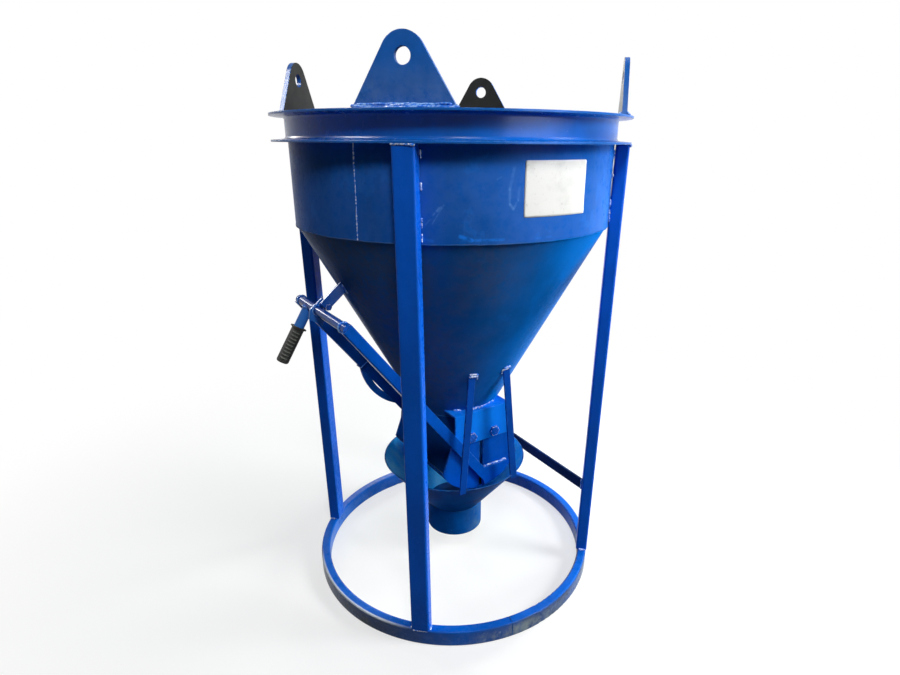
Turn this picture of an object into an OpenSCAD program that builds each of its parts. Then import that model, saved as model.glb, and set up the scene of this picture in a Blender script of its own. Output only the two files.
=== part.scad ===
// Concrete bucket on four legs with a geared clamshell gate, yoke lever and hose funnel

/* [Bucket shell] */
// Outer radius of the drum
drum_r = 525; // [400:1:700]
// Sheet thickness of the drum
drum_t = 4; // [3:0.5:8]
// Height of the joint between drum and cone above the ground
drum_low_z = 1350; // [1200:5:1450]
// Height of the rim above the ground
rim_top_z = 1680; // [1550:5:1800]
// Sheet thickness of the cone
cone_t = 5; // [3:0.5:8]
// Height of the lower end of the cone
cone_low_z = 665; // [640:5:690]
// Outer radius of the outlet neck
neck_r = 151; // [140:1:155]
// Lap of the cone inside the drum
cone_lap = 14; // [8:1:30]

/* [Rim channel] */
// Height of the rolled rim channel
rim_h = 80; // [60:1:100]
// Reach of the rim flanges beyond the drum
rim_flange = 50; // [30:1:80]
// Thickness of the channel web
rim_web = 6; // [4:0.5:8]
// Flange thickness at the toe
rim_toe = 6; // [4:0.5:9]
// Flange thickness near the root
rim_root = 9; // [6:0.5:12]
// Size of the root fillet
rim_fillet = 7; // [4:0.5:9]

/* [Legs and base] */
// Width of a leg tube
leg_w = 62; // [50:1:80]
// Depth of a leg tube
leg_d = 42; // [30:1:50]
// Wall of a leg tube
leg_t = 4; // [3:0.5:6]
// Lean of the legs, sideways step per unit of height
leg_lean = 0.0143; // [0:0.0001:0.02]
// Corner radius of a leg tube
leg_round = 7; // [5:0.5:12]
// Height of the base ring
ring_h = 60; // [40:1:80]
// Width of the base ring
ring_w = 34; // [25:1:40]
// Wall of the base ring
ring_t = 4; // [3:0.5:6]
// Corner radius of the base ring
ring_round = 6; // [5:0.5:10]
// Radius of the drain holes in the base ring
drain_r = 6; // [4:0.5:9]
// Height of the flat tie bar
tie_h = 42; // [30:1:50]
// Thickness of the tie bar
tie_t = 8; // [6:0.5:12]
// Height of the middle of the tie bar above the ground
tie_z = 354; // [250:1:450]
// Distance of the tie bar's face from the middle of the legs
tie_set = 20; // [14:1:24]
// Tilt of the tie bar
tie_tilt = 1.2; // [0:0.1:3]

/* [Lifting lugs] */
// Thickness of a lug plate
lug_t = 15; // [10:1:20]
// Distance from the drum to the middle of a lug
lug_set = 15; // [12:0.5:30]
// Height of the hole above the rim
lug_hole_z = 113; // [90:1:130]
// Radius of the hole
lug_hole_r = 20; // [15:0.5:25]
// Radius of the rounded top
lug_top_r = 55; // [45:1:65]
// Half width of the lug at its foot
lug_half_w = 131; // [110:1:150]

/* [Clamshell gate] */
// Distance of each pivot from the middle plane
pivot_x = 50; // [45:0.5:60]
// Height of the pivots
pivot_z = 600; // [590:1:612]
// Radius of the pivot bolts
pivot_r = 12; // [10:0.5:14]
// Running clearance of the pivots
pivot_gap = 0.05; // [0.02:0.01:0.1]
// Outer radius of the curve shared by the jaw shells
jaw_r = 189; // [186:0.5:192]
// Height of the middle of that curve
jaw_arc_z = 562; // [558:1:566]
// Sheet thickness of the jaw shells
jaw_t = 6; // [4:0.5:8]
// Distance from the middle to the inner face of a jaw plate
jaw_in_y = 178; // [176:0.5:182]
// Thickness of a jaw plate
jaw_plate_t = 7; // [5:0.5:9]
// Gap on each side of the closing line
jaw_lip_gap = 1; // [0.5:0.1:3]
// Gap between a jaw plate and the middle plane
jaw_plate_gap = 8; // [6:0.5:12]
// Radius of the rounded jaw head
jaw_head_r = 55; // [50:0.5:56]
// Distance of the head's middle beyond the pivot
jaw_head_off = 10; // [9:0.5:14]
// Lean of the outer jaw edge from upright
jaw_edge_ang = 20.9; // [18:0.1:24]
// Gap between the neck and the jaw shell
neck_gap = 6; // [4:0.5:10]
// Thickness of a gear segment
gear_t = 10; // [8:0.5:12]
// Teeth on the full pitch circle
gear_teeth = 20; // [18:2:24]
// Thinning of each tooth for free running
gear_play = 1; // [0.8:0.1:1.4]

/* [Gate covers] */
// Half length of a cover
cover_half = 118; // [112:1:130]
// Distance from the middle to the inner face of a cover
cover_y = 187; // [186.5:0.5:189]
// Thickness of a cover
cover_t = 6; // [4:0.5:7]
// Height of the lower edge of a cover
cover_low_z = 575; // [565:1:578]
// Height of the top of a cover
cover_top_z = 698; // [690:1:720]
// Radius of a pivot boss
boss_r = 22; // [18:0.5:26]
// Distance from the middle to the face of a boss
boss_y = 166; // [163:0.5:167]
// Width across the corners of a bolt head
bolt_head_w = 40; // [34:1:44]
// Height of a bolt head
bolt_head_h = 9; // [6:0.5:11]

/* [Hose funnel] */
// Outer radius of the funnel mouth
funnel_r = 278; // [260:1:300]
// Height of the funnel mouth
funnel_top_z = 432; // [400:1:440]
// Height of the joint between funnel and tube
funnel_low_z = 225; // [200:1:260]
// Sheet thickness of the funnel
funnel_t = 4; // [3:0.5:6]
// Outer radius of the discharge tube
spout_r = 110; // [100:1:120]
// Wall of the discharge tube
spout_t = 5; // [3:0.5:8]
// Height of the lower end of the discharge tube
spout_low_z = 115; // [90:1:150]
// Width of a hanger bar
hanger_w = 26; // [24:1:32]
// Thickness of a hanger bar
hanger_t = 6; // [4:0.5:8]
// Depth of the notch where a hanger bar meets the funnel mouth
hanger_bite = 1.9; // [1:0.1:4]
// Sideways place of a hanger at its foot
hanger_low_x = 110; // [100:1:120]
// Sideways place of a hanger at its top
hanger_top_x = 66; // [60:1:90]
// Length of hanger below the funnel mouth
hanger_foot = 13; // [10:1:30]
// Lean of a hanger towards the bucket's axis
hanger_lean = 1.1; // [0:0.1:2]
// Turn of the hangers about the bucket's axis
hanger_turn = -3.5; // [-5:0.5:5]

/* [Lever] */
// Sideways place of the cross tube
cross_x = -498; // [-540:1:-480]
// Height of the cross tube
cross_z = 1092; // [1070:1:1120]
// Outer radius of the cross tube
cross_r = 15; // [13:0.5:15]
// Wall of the cross tube and handle tube
cross_t = 3; // [2:0.5:4]
// Distance of the cross tube's front end behind the face of the front arm
cross_set = 4; // [3:0.5:8]
// Slope of the lever arms below level
arm_ang = 52.8; // [50:0.1:56]
// Side of the square arm tube
arm_s = 36; // [36:1:44]
// Wall of the square arm tube
arm_t = 2.5; // [2:0.5:2.5]
// Distance from the middle plane to the middle of an arm
arm_y = 200; // [199:0.5:203]
// Length of arm tube below the cross tube
arm_tube_len = 352; // [320:1:380]
// Length of arm tube above the cross tube
arm_over = 4; // [3:0.5:30]
// Thickness of the flat arm bar
arm_bar_t = 10; // [8:0.5:11]
// Thickness of the joint plate between arm tube and arm bar
arm_joint_t = 6; // [4:0.5:8]
// Height of the upper edge of the lever foot
foot_top_z = 462; // [450:1:475]
// Length of the lever foot
foot_len = 106; // [90:1:112]
// Height of the lever foot before it is cut to the jaw's curve
foot_drop = 100; // [60:1:120]
// Distance of the lever foot's lower edge above the jaw's curve
foot_cut = 18; // [14:1:30]
// Height above the lever foot over which the arm bar keeps its full width
foot_blend = 10; // [5:1:20]
// Length of the flat arm bar before it is cut to the jaw's curve
arm_bar_run = 500; // [450:5:550]
// Corner radius of the square arm tube
arm_round = 5; // [4:0.5:8]
// Length of the bowed bar on the rear arm
bow_len = 230; // [200:1:260]
// Depth of the bow
bow_depth = 30; // [20:1:40]
// Width of the bowed bar
bow_w = 26; // [20:1:30]

/* [Handle and stop] */
// Distance of the handle from the middle plane
handle_y = 108; // [80:1:140]
// Slope of the handle below level
handle_ang = 58.5; // [50:0.1:65]
// Radius of the handle tube
handle_r = 17; // [16:0.5:19]
// Start of the rubber grip along the handle
grip_start = 80; // [60:1:100]
// Length of the rubber grip
grip_len = 130; // [110:1:140]
// Radius of the rubber grip
grip_r = 21; // [20.5:0.5:24]
// Height of the ribs on the grip
grip_rib = 1.2; // [0.8:0.1:2]
// Number of ribs on the grip
grip_ribs = 9; // [6:1:12]
// Plain length at the two ends of the grip
grip_plain = 24; // [16:1:30]
// Thickness of the grip's closed end
grip_end_t = 6; // [4:0.5:10]
// Thickness of the grip collar
grip_collar_t = 4; // [3:0.5:6]
// Radius of the grip collar
grip_collar_r = 27; // [22:0.5:30]
// Start of the handle tube from the cross tube's middle
handle_start = 4; // [2:0.5:8]
// Place of the handle plate behind the middle plane
hplate_y = 35; // [34:1:50]
// Thickness of the handle plate
hplate_t = 8; // [6:0.5:10]
// Reach of the handle plate above the cross tube
hplate_up = 40; // [36:1:48]
// Reach of the handle plate below the cross tube
hplate_down = 53; // [44:1:60]
// Reach of the handle plate to the sides of the cross tube
hplate_edge = 26; // [24:0.5:30]
// Sideways distance from the cross tube to the stop bolt
stop_off_x = 18; // [18:0.5:24]
// Height of the stop bolt above the cross tube
stop_off_z = 20; // [20:0.5:26]
// Place of the stop bracket in front of the middle plane
stop_y = -18; // [-40:1:-14]
// Slope of the stop bracket
stop_ang = 40; // [36:1:46]
// Length of the stop bracket before it is cut to the cone
stop_len = 180; // [150:5:220]
// Width of the stop bracket
stop_w = 34; // [30:1:40]
// Thickness of the stop bracket
stop_t = 8; // [6:0.5:10]
// Radius of the stop bolt
stop_bolt_r = 6; // [5:0.5:7]
// Length of the thick end of the stop bolt
stop_end = 38; // [30:1:40]
// Gap between the thick end of the stop bolt and the cross tube
stop_gap = 0.5; // [0.3:0.1:1]

/* [Hidden] */
$fn = 96;
hair = 0.05;
big = 3000;
// the bucket axis stands this far to the right of the middle of the overall box
axis_x = 25;
rim_r = drum_r + rim_flange;
rim_low_z = rim_top_z - rim_h;
web_r = drum_r + rim_web;
drum_in_r = drum_r - drum_t;
cone_top_r = drum_in_r;
cone_slope = (cone_top_r - neck_r) / (drum_low_z - cone_low_z);
cone_t_flat = cone_t * sqrt(1 + cone_slope * cone_slope);
neck_in_r = neck_r - cone_t_flat;
// leg faces are placed so that the leg just clears the lower edge of the drum
leg_clear = 0.5;
leg_out_join = drum_r + leg_clear + leg_d;
leg_out_low = leg_out_join - leg_lean * (drum_low_z - ring_h);
ring_r = leg_out_low - 2;
front_left = 225;
front_right = 315;
rear_left = 135;
rear_right = 45;
tie_x = (leg_out_low - leg_d / 2 + leg_lean * (tie_z - ring_h)) * cos(45);
tie_face_x = tie_x - tie_set;
lug_mid_r = drum_r + lug_set;
lug_reach = sqrt(lug_half_w * lug_half_w + lug_hole_z * lug_hole_z);
lug_tan_ang = atan2(lug_hole_z, lug_half_w) + asin(lug_top_r / lug_reach);
jaw_in_r = jaw_r - jaw_t;
jaw_out_y = jaw_in_y + jaw_plate_t;
jaw_lip_x = pivot_x - jaw_lip_gap;
jaw_low_z = jaw_arc_z - jaw_r;
foot_r = jaw_r - foot_cut;
gear_pitch_r = pivot_x;
gear_module = 2 * gear_pitch_r / gear_teeth;
gear_tip_r = gear_pitch_r + gear_module * 0.95;
gear_root_r = gear_pitch_r - gear_module * 1.25;
gear_base_r = gear_pitch_r * cos(20);
cover_out_y = cover_y + cover_t;
arm_in_y = arm_y - arm_bar_t / 2;
arm_out_y = arm_y + arm_bar_t / 2;
cross_end_y = arm_y + arm_s / 2 - cross_set;
cross_far_y = arm_y;
stop_x = cross_x + stop_off_x;
stop_z = cross_z + stop_off_z;
stop_end_r = sqrt(stop_off_x * stop_off_x + stop_off_z * stop_off_z) - cross_r - stop_gap;
spout_in_r = spout_r - spout_t;
hanger_y = sqrt(funnel_r * funnel_r - hanger_low_x * hanger_low_x) - hanger_bite;

blue = [0.05, 0.25, 0.7];
dark = [0.05, 0.15, 0.4];
steel = [0.6, 0.62, 0.65];
rubber = [0.08, 0.08, 0.08];

// sets the finished part on the ground under the middle of its overall box
module place() {
    translate([axis_x, 0, 0])
        children();
}

// solid inside the outer face of drum, cone and neck, used to scribe the pieces welded to them
module cone_solid() {
    translate([0, 0, cone_low_z])
        cylinder(h = drum_low_z - cone_low_z, r1 = neck_r, r2 = cone_top_r);
}

module neck_solid() {
    translate([0, 0, jaw_low_z])
        cylinder(h = cone_low_z - jaw_low_z, r = neck_r);
}

module funnel_solid() {
    translate([0, 0, funnel_low_z])
        cylinder(h = funnel_top_z - funnel_low_z, r1 = spout_r, r2 = funnel_r);
}

// lays a shape drawn in x and z into the plane y = y0 with thickness t towards the rear
module upright(y0, t) {
    translate([0, y0 + t, 0])
        rotate([90, 0, 0])
            linear_extrude(height = t)
                children();
}

module drum_shell() {
    color(blue)
        difference() {
            translate([0, 0, drum_low_z])
                cylinder(h = rim_top_z - drum_low_z, r = drum_r);
            translate([0, 0, drum_low_z - 1])
                cylinder(h = rim_top_z - drum_low_z + 2, r = drum_in_r);
        }
}

// rolled channel with tapered flanges and filleted roots
module rim_channel() {
    color(blue)
        rotate_extrude()
            polygon([
                [drum_r, rim_low_z],
                [rim_r, rim_low_z],
                [rim_r, rim_low_z + rim_toe],
                [web_r + rim_fillet, rim_low_z + rim_root],
                [web_r + rim_fillet * 0.3, rim_low_z + rim_root + rim_fillet * 0.3],
                [web_r, rim_low_z + rim_root + rim_fillet],
                [web_r, rim_top_z - rim_root - rim_fillet],
                [web_r + rim_fillet * 0.3, rim_top_z - rim_root - rim_fillet * 0.3],
                [web_r + rim_fillet, rim_top_z - rim_root],
                [rim_r, rim_top_z - rim_toe],
                [rim_r, rim_top_z],
                [drum_r, rim_top_z]]);
}

module hopper_cone() {
    color(blue)
        rotate_extrude()
            polygon([
                [neck_r, cone_low_z],
                [cone_top_r, drum_low_z],
                [cone_top_r, drum_low_z + cone_lap],
                [cone_top_r - cone_t, drum_low_z + cone_lap],
                [cone_top_r - cone_t_flat, drum_low_z],
                [neck_in_r, cone_low_z]]);
}

// round neck with its lower edge scribed to the jaw shells
module outlet_neck() {
    color(blue)
        intersection() {
            difference() {
                neck_solid();
                translate([0, 0, jaw_low_z - 1])
                    cylinder(h = cone_low_z - jaw_low_z + 2, r = neck_in_r);
            }
            union() {
                translate([-big / 2, -big / 2, jaw_arc_z])
                    cube([big, big, big]);
                translate([0, big / 2, jaw_arc_z])
                    rotate([90, 0, 0])
                        cylinder(h = big, r = jaw_in_r - neck_gap);
            }
        }
}

// rectangle with rounded corners
module round_rect(w, h, r) {
    difference() {
        square([w, h], center = true);
        for (sx = [-1, 1])
            for (sy = [-1, 1])
                translate([sx * (w / 2 - r), sy * (h / 2 - r)])
                    difference() {
                        translate([sx * r, sy * r])
                            square([2 * r, 2 * r], center = true);
                        circle(r = r);
                    }
    }
}

// leaning prism with the given inset, level at the base ring and under the rim
module leg_prism(inset, extra) {
    tall = rim_top_z;
    intersection() {
        translate([leg_out_join - leg_d / 2, 0, drum_low_z])
            rotate([0, atan(leg_lean), 0])
                translate([0, 0, -tall])
                    linear_extrude(height = 2 * tall)
                        round_rect(leg_d - 2 * inset, leg_w - 2 * inset, leg_round - inset);
        translate([0, -leg_w, ring_h - extra])
            cube([2 * rim_r, 2 * leg_w, rim_low_z - ring_h + 2 * extra]);
    }
}

module leg_solid() {
    leg_prism(0, 0);
}

module leg(ang) {
    color(blue)
        rotate([0, 0, ang])
            difference() {
                leg_solid();
                leg_prism(leg_t, 1);
            }
}

module leg_front_left() {
    leg(front_left);
}

module leg_front_right() {
    leg(front_right);
}

module leg_rear_left() {
    leg(rear_left);
}

module leg_rear_right() {
    leg(rear_right);
}

module base_ring() {
    color(blue)
        difference() {
            rotate_extrude()
                difference() {
                    translate([ring_r - ring_w / 2, ring_h / 2])
                        round_rect(ring_w, ring_h, ring_round);
                    translate([ring_r - ring_w / 2, ring_h / 2])
                        round_rect(ring_w - 2 * ring_t, ring_h - 2 * ring_t, ring_round - ring_t);
                }
            for (a = [0 : 90 : 270])
                rotate([0, 0, a])
                    translate([ring_r - ring_w / 2, 0, -1])
                        cylinder(h = ring_t + 2, r = drain_r);
        }
}

// flat bar on edge between the two legs opposite the lever
module tie_bar() {
    color(dark)
        difference() {
            translate([tie_face_x, 0, tie_z])
                rotate([tie_tilt, 0, 0])
                    translate([0, -tie_x, -tie_h / 2])
                        cube([tie_t, 2 * tie_x, tie_h]);
            rotate([0, 0, rear_right])
                leg_solid();
            rotate([0, 0, front_right])
                leg_solid();
        }
}

module lug(ang) {
    tx = lug_top_r * sin(lug_tan_ang);
    tz = lug_hole_z + lug_top_r * cos(lug_tan_ang);
    color(blue)
        rotate([0, 0, ang - 90])
            translate([0, lug_mid_r + lug_t / 2, rim_top_z])
                rotate([90, 0, 0])
                    linear_extrude(height = lug_t)
                        difference() {
                            union() {
                                translate([0, lug_hole_z])
                                    circle(r = lug_top_r);
                                polygon([[-lug_half_w, 0], [lug_half_w, 0], [tx, tz], [-tx, tz]]);
                            }
                            translate([0, lug_hole_z])
                                circle(r = lug_hole_r);
                        }
}

module lug_front_left() {
    lug(front_left);
}

module lug_front_right() {
    lug(front_right);
}

module lug_rear_left() {
    lug(rear_left);
}

module lug_rear_right() {
    lug(rear_right);
}

// folded cover: face plate over the gears and a top strip scribed to the cone
module gate_cover() {
    color(blue)
        difference() {
            union() {
                translate([-cover_half, -cover_out_y, cover_low_z])
                    cube([2 * cover_half, cover_t, cover_top_z - cover_low_z]);
                translate([-cover_half, -cover_y - hair, cover_top_z - cover_t])
                    cube([2 * cover_half, cover_y, cover_t]);
            }
            cone_solid();
            for (s = [-1, 1])
                translate([s * pivot_x, 0, pivot_z])
                    rotate([90, 0, 0])
                        cylinder(h = big, r = pivot_r);
        }
}

module gate_cover_front() {
    gate_cover();
}

module gate_cover_rear() {
    mirror([0, 1, 0])
        gate_cover();
}

module pivot_bosses() {
    color(blue)
        for (m = [0, 1])
            mirror([0, m, 0])
                for (s = [-1, 1])
                    difference() {
                        translate([s * pivot_x, 0, pivot_z])
                            rotate([90, 0, 0])
                                cylinder(h = boss_y, r = boss_r);
                        neck_solid();
                    }
}

module pivot_bolts() {
    color(steel)
        for (m = [0, 1])
            mirror([0, m, 0])
                for (s = [-1, 1])
                    translate([s * pivot_x, 0, pivot_z])
                        rotate([90, 0, 0]) {
                            translate([0, 0, boss_y])
                                cylinder(h = cover_out_y - boss_y + hair, r = pivot_r);
                            translate([0, 0, cover_out_y])
                                cylinder(h = bolt_head_h, r = bolt_head_w / 2, $fn = 6);
                        }
}

module discharge_funnel() {
    slope = (funnel_r - spout_r) / (funnel_top_z - funnel_low_z);
    flat_t = funnel_t * sqrt(1 + slope * slope);
    color(blue)
        rotate_extrude()
            polygon([
                [spout_r, funnel_low_z],
                [funnel_r, funnel_top_z],
                [funnel_r - flat_t, funnel_top_z],
                [spout_r - flat_t, funnel_low_z]]);
}

module discharge_tube() {
    color(blue)
        translate([0, 0, spout_low_z])
            difference() {
                cylinder(h = funnel_low_z - spout_low_z, r = spout_r);
                translate([0, 0, -1])
                    cylinder(h = funnel_low_z - spout_low_z + 2, r = spout_in_r);
            }
}

// flat bar scribed to the cone above and to the funnel below
module hanger_bar() {
    top_z = cone_low_z + (hanger_y + hanger_w - neck_r) / cone_slope;
    difference() {
        translate([0, -hanger_y, funnel_top_z])
            rotate([-hanger_lean, 0, 0])
                upright(-hanger_t, hanger_t)
                    polygon([
                        [hanger_low_x - hanger_w / 2, -hanger_foot],
                        [hanger_low_x + hanger_w / 2, -hanger_foot],
                        [hanger_top_x + hanger_w / 2, top_z - funnel_top_z],
                        [hanger_top_x - hanger_w / 2, top_z - funnel_top_z]]);
        cone_solid();
        funnel_solid();
    }
}

module hanger(flip_x, flip_y) {
    color(blue)
        rotate([0, 0, hanger_turn])
            mirror([flip_x, 0, 0])
                mirror([0, flip_y, 0])
                    hanger_bar();
}

module hanger_front_right() {
    hanger(0, 0);
}

module hanger_front_left() {
    hanger(1, 0);
}

module hanger_rear_right() {
    hanger(0, 1);
}

module hanger_rear_left() {
    hanger(1, 1);
}

// bar from the cone that carries the bolt the cross tube rests against when the gate is shut
module stop_bracket() {
    color(blue)
        difference() {
            translate([stop_x, stop_y, stop_z])
                rotate([0, -stop_ang, 0])
                    translate([-stop_bolt_r - 3, 0, -stop_bolt_r - 2])
                        cube([stop_len, stop_t, stop_w]);
            translate([stop_x, 0, stop_z])
                rotate([90, 0, 0])
                    cylinder(h = big, r = stop_bolt_r);
            cone_solid();
        }
}

module stop_bolt() {
    color(steel)
        translate([stop_x, stop_y, stop_z])
            rotate([-90, 0, 0]) {
                cylinder(h = stop_t + stop_end / 2, r = stop_bolt_r);
                translate([0, 0, -stop_bolt_r])
                    cylinder(h = stop_bolt_r, r = stop_end_r - stop_gap, $fn = 6);
                translate([0, 0, stop_t])
                    cylinder(h = stop_end, r = stop_end_r);
            }
}

// wedge of the left jaw about its pivot: outer sloping edge, closing line at the given place
module jaw_wedge(inner) {
    run = 260;
    edge_x = -jaw_head_off - jaw_head_r * cos(jaw_edge_ang);
    edge_z = jaw_head_r * sin(jaw_edge_ang);
    polygon([
        [edge_x, edge_z],
        [edge_x - run * sin(jaw_edge_ang), edge_z - run * cos(jaw_edge_ang)],
        [inner, -run * 1.2],
        [inner, -jaw_head_r / 3],
        [0, 0]]);
}

// disc about the middle of the jaws' curve, seen from the left pivot
module jaw_disc(r) {
    translate([pivot_x, jaw_arc_z - pivot_z])
        circle(r = r);
}

module jaw_plate_shape() {
    difference() {
        union() {
            translate([-jaw_head_off, 0])
                circle(r = jaw_head_r);
            intersection() {
                jaw_disc(jaw_r);
                jaw_wedge(pivot_x - jaw_plate_gap);
            }
        }
        circle(r = pivot_r + pivot_gap);
    }
}

module jaw_shell_shape() {
    intersection() {
        difference() {
            jaw_disc(jaw_r);
            jaw_disc(jaw_in_r);
        }
        jaw_wedge(jaw_lip_x);
    }
}

// involute angle in degrees at radius r
function inv_at(r) = let (a = acos(min(1, gear_base_r / r))) tan(a) * 180 / PI - a;
// half angle of a tooth at radius r
function tooth_half(r) = ((PI * gear_module / 2 - gear_play) / (2 * gear_pitch_r)) * 180 / PI
    + inv_at(gear_pitch_r) - inv_at(max(r, gear_base_r));
tooth_steps = 5;
tooth_count = 7;
tooth_ang = 360 / gear_teeth;
function space_half(r) = tooth_ang / 2 - tooth_half(r);
function flank(i) = gear_root_r + (gear_tip_r + 1 - gear_root_r) * i / tooth_steps;

// space between two teeth
module tooth_space() {
    polygon(concat(
        [for (i = [0 : tooth_steps])
            [flank(i) * cos(space_half(flank(i))), flank(i) * sin(space_half(flank(i)))]],
        [for (i = [tooth_steps : -1 : 0])
            [flank(i) * cos(space_half(flank(i))), -flank(i) * sin(space_half(flank(i)))]]));
}

// toothed segment about its pivot, teeth towards the middle plane
module gear_shape(first, shift) {
    low = (first + shift - 0.5) * tooth_ang;
    high = low + tooth_count * tooth_ang;
    far = 2 * gear_tip_r;
    difference() {
        union() {
            circle(r = gear_root_r);
            intersection() {
                circle(r = gear_tip_r);
                polygon([
                    [0, 0],
                    [far * cos(low), far * sin(low)],
                    [far * cos((low + high) / 2), far * sin((low + high) / 2)],
                    [far * cos(high), far * sin(high)]]);
            }
        }
        for (k = [0 : tooth_count])
            rotate(low + k * tooth_ang)
                tooth_space();
        circle(r = pivot_r + pivot_gap);
    }
}

module left_jaw_plate() {
    color(blue)
        upright(-jaw_out_y, jaw_plate_t)
            translate([-pivot_x, pivot_z])
                jaw_plate_shape();
}

module left_jaw_plate_front() {
    left_jaw_plate();
}

module left_jaw_plate_rear() {
    mirror([0, 1, 0])
        left_jaw_plate();
}

module left_jaw_shell() {
    color(blue)
        upright(-jaw_in_y, 2 * jaw_in_y)
            translate([-pivot_x, pivot_z])
                jaw_shell_shape();
}

module left_jaw_gear_front() {
    color(steel)
        upright(-jaw_in_y, gear_t)
            translate([-pivot_x, pivot_z])
                gear_shape(-2, 0);
}

module left_jaw_gear_rear() {
    mirror([0, 1, 0])
        left_jaw_gear_front();
}

module right_jaw_plate_front() {
    mirror([1, 0, 0])
        left_jaw_plate();
}

module right_jaw_plate_rear() {
    mirror([1, 0, 0])
        mirror([0, 1, 0])
            left_jaw_plate();
}

module right_jaw_shell() {
    mirror([1, 0, 0])
        left_jaw_shell();
}

module right_jaw_gear_front() {
    color(steel)
        mirror([1, 0, 0])
            upright(-jaw_in_y, gear_t)
                translate([-pivot_x, pivot_z])
                    gear_shape(-2, 0.5);
}

module right_jaw_gear_rear() {
    mirror([0, 1, 0])
        right_jaw_gear_front();
}

// frame that starts at the cross tube and runs down along a lever arm
module along_arm() {
    translate([cross_x, cross_z])
        rotate(-arm_ang)
            children();
}

// square tube with rounded corners and a closed upper end
module arm_tube(start, y_mid) {
    color(blue)
        translate([cross_x, y_mid, cross_z])
            rotate([0, 90 + arm_ang, 0])
                difference() {
                    translate([0, 0, start])
                        linear_extrude(height = arm_tube_len - start)
                            round_rect(arm_s, arm_s, arm_round);
                    translate([0, 0, start + arm_t])
                        linear_extrude(height = arm_tube_len - start)
                            round_rect(arm_s - 2 * arm_t, arm_s - 2 * arm_t, arm_round - arm_t);
                }
}

// cylinder of the cross tube, used to cope the pieces welded to it
module cross_solid(from_y) {
    translate([cross_x, from_y, cross_z])
        rotate([-90, 0, 0])
            cylinder(h = big, r = cross_r);
}

// front arm coped round the end of the cross tube, its outer wall left whole
module arm_tube_front() {
    color(blue)
        difference() {
            arm_tube(-arm_over, -arm_y);
            cross_solid(-cross_end_y);
        }
}

// rear arm coped under the cross tube
module arm_tube_rear() {
    color(blue)
        difference() {
            arm_tube(0, arm_y);
            cross_solid(-big / 2);
        }
}

module foot_disc() {
    translate([0, jaw_arc_z])
        circle(r = foot_r);
}

module foot_area() {
    intersection() {
        foot_disc();
        translate([2 * jaw_lip_gap, foot_top_z - foot_drop])
            square([foot_len, foot_drop]);
    }
}

module arm_bar_shape() {
    intersection() {
        union() {
            along_arm()
                translate([arm_tube_len, -arm_s / 2])
                    square([arm_bar_run, arm_s]);
            foot_area();
        }
        union() {
            foot_disc();
            translate([-big, foot_top_z + foot_blend])
                square([2 * big, big]);
        }
        translate([-big, 0])
            square([big + foot_len + 2 * jaw_lip_gap, big]);
    }
}

module arm_bar_front() {
    color(blue) {
        upright(-arm_out_y, arm_bar_t)
            arm_bar_shape();
        upright(-arm_y - arm_s / 2, arm_s)
            along_arm()
                translate([arm_tube_len, -arm_s / 2])
                    square([arm_joint_t, arm_s]);
    }
}

module arm_bar_rear() {
    mirror([0, 1, 0])
        arm_bar_front();
}

module arm_foot_pad_front() {
    color(blue)
        upright(-arm_in_y, arm_in_y - jaw_out_y)
            foot_area();
}

module arm_foot_pad_rear() {
    mirror([0, 1, 0])
        arm_foot_pad_front();
}

// bowed flat bar along the lower edge of the rear arm bar
module rear_arm_bow() {
    chord = bow_len / 2;
    bow_r = (chord * chord + bow_depth * bow_depth) / (2 * bow_depth);
    color(dark)
        upright(arm_in_y, arm_bar_t)
            along_arm()
                translate([arm_tube_len + arm_joint_t + chord, -arm_s / 2])
                    intersection() {
                        translate([0, bow_r - bow_depth])
                            difference() {
                                circle(r = bow_r);
                                circle(r = bow_r - bow_w);
                            }
                        translate([-chord, -big])
                            square([2 * chord, big]);
                    }
}

// tube between the arms, closed at its front end
module cross_tube() {
    color(blue)
        translate([cross_x, -cross_end_y, cross_z])
            rotate([-90, 0, 0])
                difference() {
                    cylinder(h = cross_end_y + cross_far_y, r = cross_r);
                    translate([0, 0, cross_t])
                        cylinder(h = cross_end_y + cross_far_y, r = cross_r - cross_t);
                }
}

// collar plate with a gusset below the cross tube
module handle_plate() {
    color(blue)
        difference() {
            upright(hplate_y - hplate_t / 2, hplate_t)
                translate([cross_x, cross_z])
                    polygon([
                        [hplate_edge * 0.77, hplate_up],
                        [-hplate_edge * 0.92, hplate_up * 0.15],
                        [-hplate_edge * 1.15, -hplate_up * 0.62],
                        [hplate_edge / 2, -hplate_down],
                        [hplate_edge, -hplate_up / 2],
                        [hplate_edge * 1.04, hplate_up * 0.62]]);
            cross_solid(-big / 2);
        }
}

module along_handle() {
    translate([cross_x, handle_y, cross_z])
        rotate([0, -90 - handle_ang, 0])
            children();
}

// handle tube coped over the cross tube
module handle_tube() {
    color(blue)
        difference() {
            along_handle()
                translate([0, 0, handle_start])
                    cylinder(h = grip_start + grip_len - grip_end_t - handle_start, r = handle_r);
            along_handle()
                cylinder(h = grip_start + grip_len, r = handle_r - cross_t);
            cross_solid(-big / 2);
        }
}

// moulded grip with a collar, ribs and a closed end
module rubber_grip() {
    rib_pitch = (grip_len - grip_plain) / grip_ribs;
    color(rubber)
        along_handle()
            translate([0, 0, grip_start])
                difference() {
                    union() {
                        cylinder(h = grip_len, r = grip_r - grip_rib);
                        cylinder(h = grip_collar_t, r = grip_collar_r);
                        for (k = [0 : grip_ribs - 1])
                            translate([0, 0, grip_plain / 2 + k * rib_pitch])
                                cylinder(h = rib_pitch * 0.6, r = grip_r);
                    }
                    translate([0, 0, -1])
                        cylinder(h = grip_len - grip_end_t + 1, r = handle_r);
                }
}

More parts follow.
